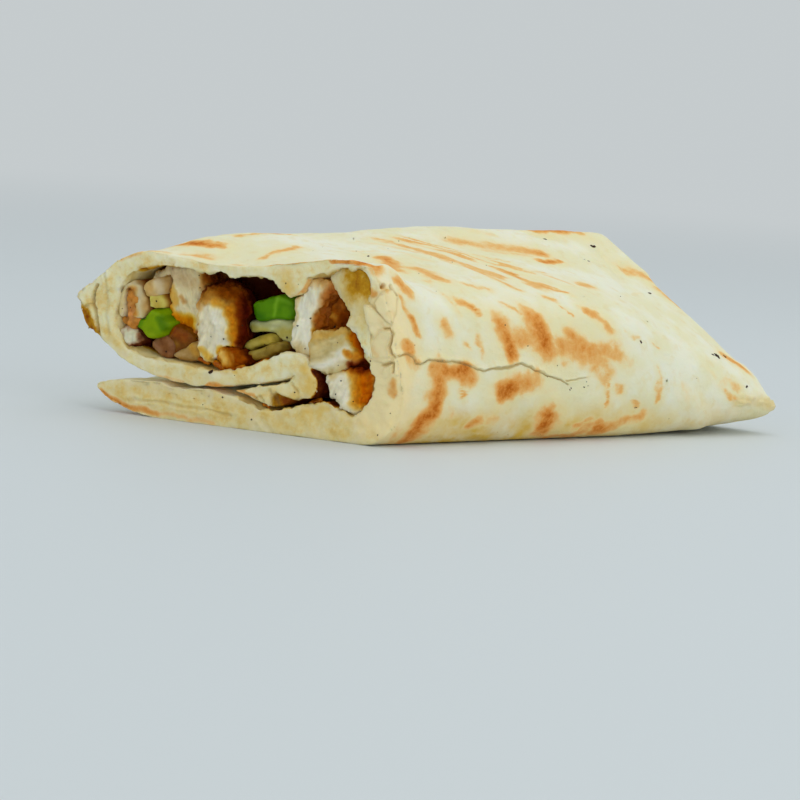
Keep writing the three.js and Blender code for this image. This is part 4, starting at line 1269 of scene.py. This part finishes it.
sauce_shape = bmesh.new()
pouring = random.Random(11)
for run, thick in SAUCE_RUNS:
    for (c0, z0, d0), (c1, z1, d1) in zip(run[:-1], run[1:]):
        drops = max(2, int(math.hypot(c1 - c0, z1 - z0) / (0.5 * thick)))
        for share in [drop / drops for drop in range(drops + 1)]:
            spot = at_cut(c0 + (c1 - c0) * share,
                          z0 + (z1 - z0) * share + pouring.uniform(-0.2, 0.2),
                          d0 + (d1 - d0) * share + pouring.uniform(-0.2, 0.3))
            bmesh.ops.create_icosphere(sauce_shape, subdivisions=2, matrix=Matrix.Translation(spot),
                                       radius=thick * pouring.uniform(0.7, 1.1) * MM)
sauce = piece_from(sauce_shape, "cooking_sauce")
running = sauce.modifiers.new("run_together", "REMESH")
running.mode = "VOXEL"
running.voxel_size = 0.2 * MM
apply_all(sauce)
soften(sauce, 10)
points = points_of(sauce)
points += moves(normals_of(sauce), 0.12 + bumps(points, (0.16, 1.4, 130)))
move_points(sauce, points)
sauce_look, mix, surface = new_material("cooking_sauce")
thinness = mix.ramp(mix.noise(1.8 * MM, 3), [
    (0.3, colour(140, 58, 0)), (0.5, colour(184, 96, 0)), (0.7, colour(216, 142, 20)),
])
mix.join(thinness, surface.inputs["Base Color"])
settle(surface, {
    "Roughness": 0.22,
    "Specular IOR Level": 0.1,
    "Subsurface Weight": 0.15,
    "Subsurface Radius": (1.0, 0.4, 0.1),
    "Subsurface Scale": 1.0 * MM,
    "Coat Weight": 0.12,
    "Coat Roughness": 0.08,
})
sauce.data.materials.append(sauce_look)
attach(sauce, "root")

# ---- Crumbs, ground pepper and burnt flecks ----
# Crumbs the knife tore from the rim, grains of black pepper stuck in the filling and the bread,
# and flecks that burnt on the griddle. Each kind is one joined mesh of broken bits.


def broken_bits(name, spots, look, seed):
    """Joins one broken bit for each spot: (place, outward direction, size, stretch)."""
    breaking = random.Random(seed)
    shape = bmesh.new()
    for place, outward_way, size, stretch in spots:
        turned = Vector(outward_way).to_track_quat("Z", "Y").to_matrix().to_4x4()
        spun = Matrix.Rotation(breaking.uniform(0, math.tau), 4, "Z")
        sized = Matrix.Diagonal((size * stretch, size, size * 0.6, 1))
        put = Matrix.Translation(place) @ turned @ spun @ sized
        made = bmesh.ops.create_icosphere(shape, subdivisions=1, radius=1.0, matrix=put)
        for corner in made["verts"]:
            corner.co += Vector([breaking.uniform(-0.3, 0.3) * size for _ in range(3)])
    piece = piece_from(shape, name)
    piece.data.materials.append(look)
    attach(piece, "root")
    return piece


bread_points = points_of(bread)
bread_normals = normals_of(bread)
across, height, behind = cut_places(bread_points)
girth = girth_places(bread_points)
skin_spots = np.flatnonzero(skin > 0.9)


def bread_spot(index):
    """The place of one point of the bread and its outward direction."""
    return Vector(bread_points[index]), bread_normals[index]


def on_skin(along, round_):
    """The spot on the outside of the bread nearest to (behind the cut, round the roll)."""
    gap = np.hypot(behind[skin_spots] - along, girth[skin_spots] - round_)
    return bread_spot(skin_spots[np.argmin(gap)])


# A piece has four grains of pepper where more than this many of its points show, and else one.
WELL_SHOWN = 1500
GRAINS_ON_PIECE, GRAINS_ON_CUT, GRAINS_ON_SKIN = 4, 12, 26
sprinkling = random.Random(21)
pepper_spots = []
for child in list(bpy.context.scene.objects):
    if child.name.startswith(("chicken_", "onion_")) and child.name.endswith("_piece"):
        places, ways = points_of(child), normals_of(child)
        seen = np.flatnonzero((ways @ cut_normal > 0.6) & (cut_places(places)[2] < 8))
        for _ in range(GRAINS_ON_PIECE if len(seen) > WELL_SHOWN else 1):
            at = seen[sprinkling.randrange(len(seen))]
            size = sprinkling.uniform(0.1, 0.26) * MM
            pepper_spots.append((Vector(places[at]), ways[at], size, 1.3))
cut_spots = np.flatnonzero((front > 0.9) & (height > 1))
for _ in range(GRAINS_ON_CUT):
    spot = bread_spot(cut_spots[sprinkling.randrange(len(cut_spots))])
    pepper_spots.append((*spot, sprinkling.uniform(0.08, 0.2) * MM, 1.2))
for _ in range(GRAINS_ON_SKIN):
    spot = on_skin(sprinkling.uniform(2, 110), sprinkling.uniform(-8, 62))
    pepper_spots.append((*spot, sprinkling.uniform(0.07, 0.15) * MM, 1.2))
# Coarser grains on the cut: (across, height, size), left out where there is no bread.
for across_at, height_at, size in [(45.6, 12.6, 0.5), (64.3, 18.6, 0.35), (58.6, 24, 0.3),
                                   (23, 31.4, 0.35)]:
    gap = np.hypot(across[cut_spots] - across_at, height[cut_spots] - height_at)
    if gap.min() < 1.5:
        pepper_spots.append((*bread_spot(cut_spots[np.argmin(gap)]), size * MM, 1.4))
ground_look, mix, surface = new_material("ground_pepper")
husk = mix.ramp(mix.noise(0.3 * MM, 2), [(0.4, colour(30, 16, 10)), (0.7, colour(86, 56, 34))])
mix.join(husk, surface.inputs["Base Color"])
settle(surface, {"Roughness": 0.6, "Specular IOR Level": 0.1})
broken_bits("ground_pepper", pepper_spots, ground_look, seed=22)

# Burnt flecks in small clusters: (behind the cut, round the roll, how many, spread, size).
BURNT = [
    (110.6, 56.6, 3, 0.8, 0.4), (101.4, 50.2, 2, 1.0, 0.25), (98, 58.3, 2, 0.4, 0.3),
    (107.9, 35, 3, 0.8, 0.35), (102.4, 6.8, 6, 1.3, 0.4), (109.3, 7.2, 2, 0.5, 0.25),
    (106.5, -0.4, 1, 0.1, 0.35), (73.3, 10.1, 1, 0.1, 0.25), (53.6, 0.6, 3, 0.9, 0.16),
    (30.7, 46.4, 2, 0.6, 0.25), (70.5, -4.2, 2, 0.6, 0.14), (49.2, 0.2, 2, 0.4, 0.14),
]
burnt_spots = []
for along, round_, many, spread, size in BURNT:
    for _ in range(many):
        spot = on_skin(along + sprinkling.uniform(-spread, spread),
                       round_ + 0.5 * sprinkling.uniform(-spread, spread))
        burnt_spots.append((*spot, size * sprinkling.uniform(0.6, 1.1) * MM, 1.9))
broken_bits("burnt_flecks", burnt_spots, ground_look, seed=23)

CRUMBS = 90
crumb_spots = []
torn_edge = (front > 0.25) & (front < 0.75) & (behind < 1.5) & (inside > 0.2) & (height > 4)
torn_spots = np.flatnonzero(torn_edge)
for _ in range(CRUMBS):
    spot = bread_spot(torn_spots[sprinkling.randrange(len(torn_spots))])
    crumb_spots.append((*spot, sprinkling.uniform(0.1, 0.26) * MM, 1.3))
crumbs = broken_bits("bread_crumbs", crumb_spots, bread_look, seed=24)
mark(crumbs, "sliced", np.ones(len(crumbs.data.vertices)))
mark(crumbs, "golden", np.full(len(crumbs.data.vertices), 0.4))

# ---- Torn scrap ----
# A thin scrap of the sheet that tore and stands up on the crest, no bigger than a lentil.
SCRAP_THICKNESS = 0.3 * MM
SCRAP_TURN = math.radians(-20)
scrap_place, _ = on_skin(78, 63)
scrap_shape = bmesh.new()
bmesh.ops.create_grid(scrap_shape, x_segments=16, y_segments=10, size=1.0)
for corner in scrap_shape.verts:
    wide, tall, _ = corner.co
    uneven = 0.5 + 0.5 * crumple(np.array([[wide * 1.6, 0.3, 0.0]]), 1.0, 140)[0]
    stands = (0.3 + 0.95 * (tall + 0.6)) * (0.5 + 0.8 * uneven) * (1 - 0.5 * wide * wide)
    corner.co = Vector((1.9 * wide, 0.5 * math.sin(2.4 * wide) - 0.35 * tall, stands)) * MM
scrap = piece_from(scrap_shape, "torn_scrap")
scrap.data.transform(Matrix.Translation(scrap_place) @ Matrix.Rotation(SCRAP_TURN, 4, "Z"))
scrap.modifiers.new("thickness", "SOLIDIFY").thickness = SCRAP_THICKNESS
scrap.modifiers.new("round", "SUBSURF").levels = 1
apply_all(scrap)
mark(scrap, "skin", np.ones(len(scrap.data.vertices)))
beyond_middle = points_of(scrap)[:, 0] / MM - scrap_place.x / MM
mark(scrap, "golden", 0.3 * step(0.2, 1.2, beyond_middle))
scrap.data.materials.append(bread_look)
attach(scrap, "root")

# ---- Table, light and camera ----
# A plain pale table under soft studio light, looked at from low down in front of the cut.
TABLE_REACH = 12.0
table_corners = [(TABLE_REACH * x, TABLE_REACH * y, 0) for x, y in [(-1, -1), (1, -1), (1, 1), (-1, 1)]]
table_mesh = bpy.data.meshes.new("table")
table_mesh.from_pydata(table_corners, [], [(0, 1, 2, 3)])
table = new_piece("table", table_mesh)
table_look, mix, surface = new_material("pale_table")
settle(surface, {"Base Color": colour(216, 222, 224), "Roughness": 0.55, "Specular IOR Level": 0.3})
# Away from the food the table pales into the backdrop, so that its far edge doesn't show.
BACKDROP = {"Color": colour(202, 208, 210), "Strength": 0.95}
PALING_FROM, PALING_TO = 0.25, 1.3
backdrop_glow = mix.node("ShaderNodeEmission")
settle(backdrop_glow, BACKDROP)
distance = mix.node("ShaderNodeVectorMath", operation="LENGTH")
mix.join(mix.place(), distance.inputs[0])
paled = mix.node("ShaderNodeMixShader")
mix.join(mix.spread(distance.outputs["Value"], PALING_FROM, PALING_TO), paled.inputs[0])
mix.join(surface.outputs["BSDF"], paled.inputs[1])
mix.join(backdrop_glow.outputs["Emission"], paled.inputs[2])
mix.join(paled.outputs["Shader"], table_look.node_tree.nodes["Material Output"].inputs["Surface"])
table_mesh.materials.append(table_look)

world = bpy.data.worlds.new("studio")
world.use_nodes = True
settle(world.node_tree.nodes["Background"], BACKDROP)
bpy.context.scene.world = world

# Each softbox: where it hangs, its width and height, and its power.
LIT_POINT = Vector((0, 0, 0.02))
SOFTBOXES = {
    "top_softbox": ((0.15, -0.1, 0.9), (0.9, 0.9), 2.3),
    "front_softbox": ((0.1, -0.95, 0.45), (0.7, 0.6), 1.5),
    "left_fill": ((-0.95, -0.4, 0.35), (0.6, 0.6), 0.56),
}
for name, (place, size, power) in SOFTBOXES.items():
    light = bpy.data.lights.new(name, "AREA")
    light.shape = "RECTANGLE"
    light.size, light.size_y = size
    light.energy = power
    lamp = bpy.data.objects.new(name, light)
    lamp.location = place
    lamp.rotation_euler = (LIT_POINT - Vector(place)).to_track_quat("-Z", "Y").to_euler()
    bpy.context.scene.collection.objects.link(lamp)

# The camera is aimed a little over the foot of the cut's near corner.
VIEW_AZIMUTH = math.radians(-38)
VIEW_ELEVATION = math.radians(7)
VIEW_LEAN = math.radians(4)
VIEW_DISTANCE = 0.5532
FOCAL_LENGTH = 117
SENSOR_WIDTH = 36
AIM_UP, AIM_RIGHT, AIM_DOWN = 13.5 * MM, 0.43 * MM, 2.77 * MM
back = Vector((
    math.sin(VIEW_AZIMUTH) * math.cos(VIEW_ELEVATION),
    -math.cos(VIEW_AZIMUTH) * math.cos(VIEW_ELEVATION),
    math.sin(VIEW_ELEVATION),
))
level = Vector((math.cos(VIEW_AZIMUTH), math.sin(VIEW_AZIMUTH), 0))
upright = back.cross(level)
right = level * math.cos(VIEW_LEAN) + upright * math.sin(VIEW_LEAN)
up = upright * math.cos(VIEW_LEAN) - level * math.sin(VIEW_LEAN)
aim = near_corner + Vector((0, 0, AIM_UP)) + right * AIM_RIGHT - up * AIM_DOWN
camera_data = bpy.data.cameras.new("camera")
camera_data.lens = FOCAL_LENGTH
camera_data.sensor_width = SENSOR_WIDTH
camera = bpy.data.objects.new("camera", camera_data)
turned = Matrix((right, up, back)).transposed().to_4x4()
camera.matrix_world = Matrix.Translation(aim + back * VIEW_DISTANCE) @ turned
bpy.context.scene.collection.objects.link(camera)
bpy.context.scene.camera = camera
bpy.context.scene.view_settings.view_transform = "Standard"
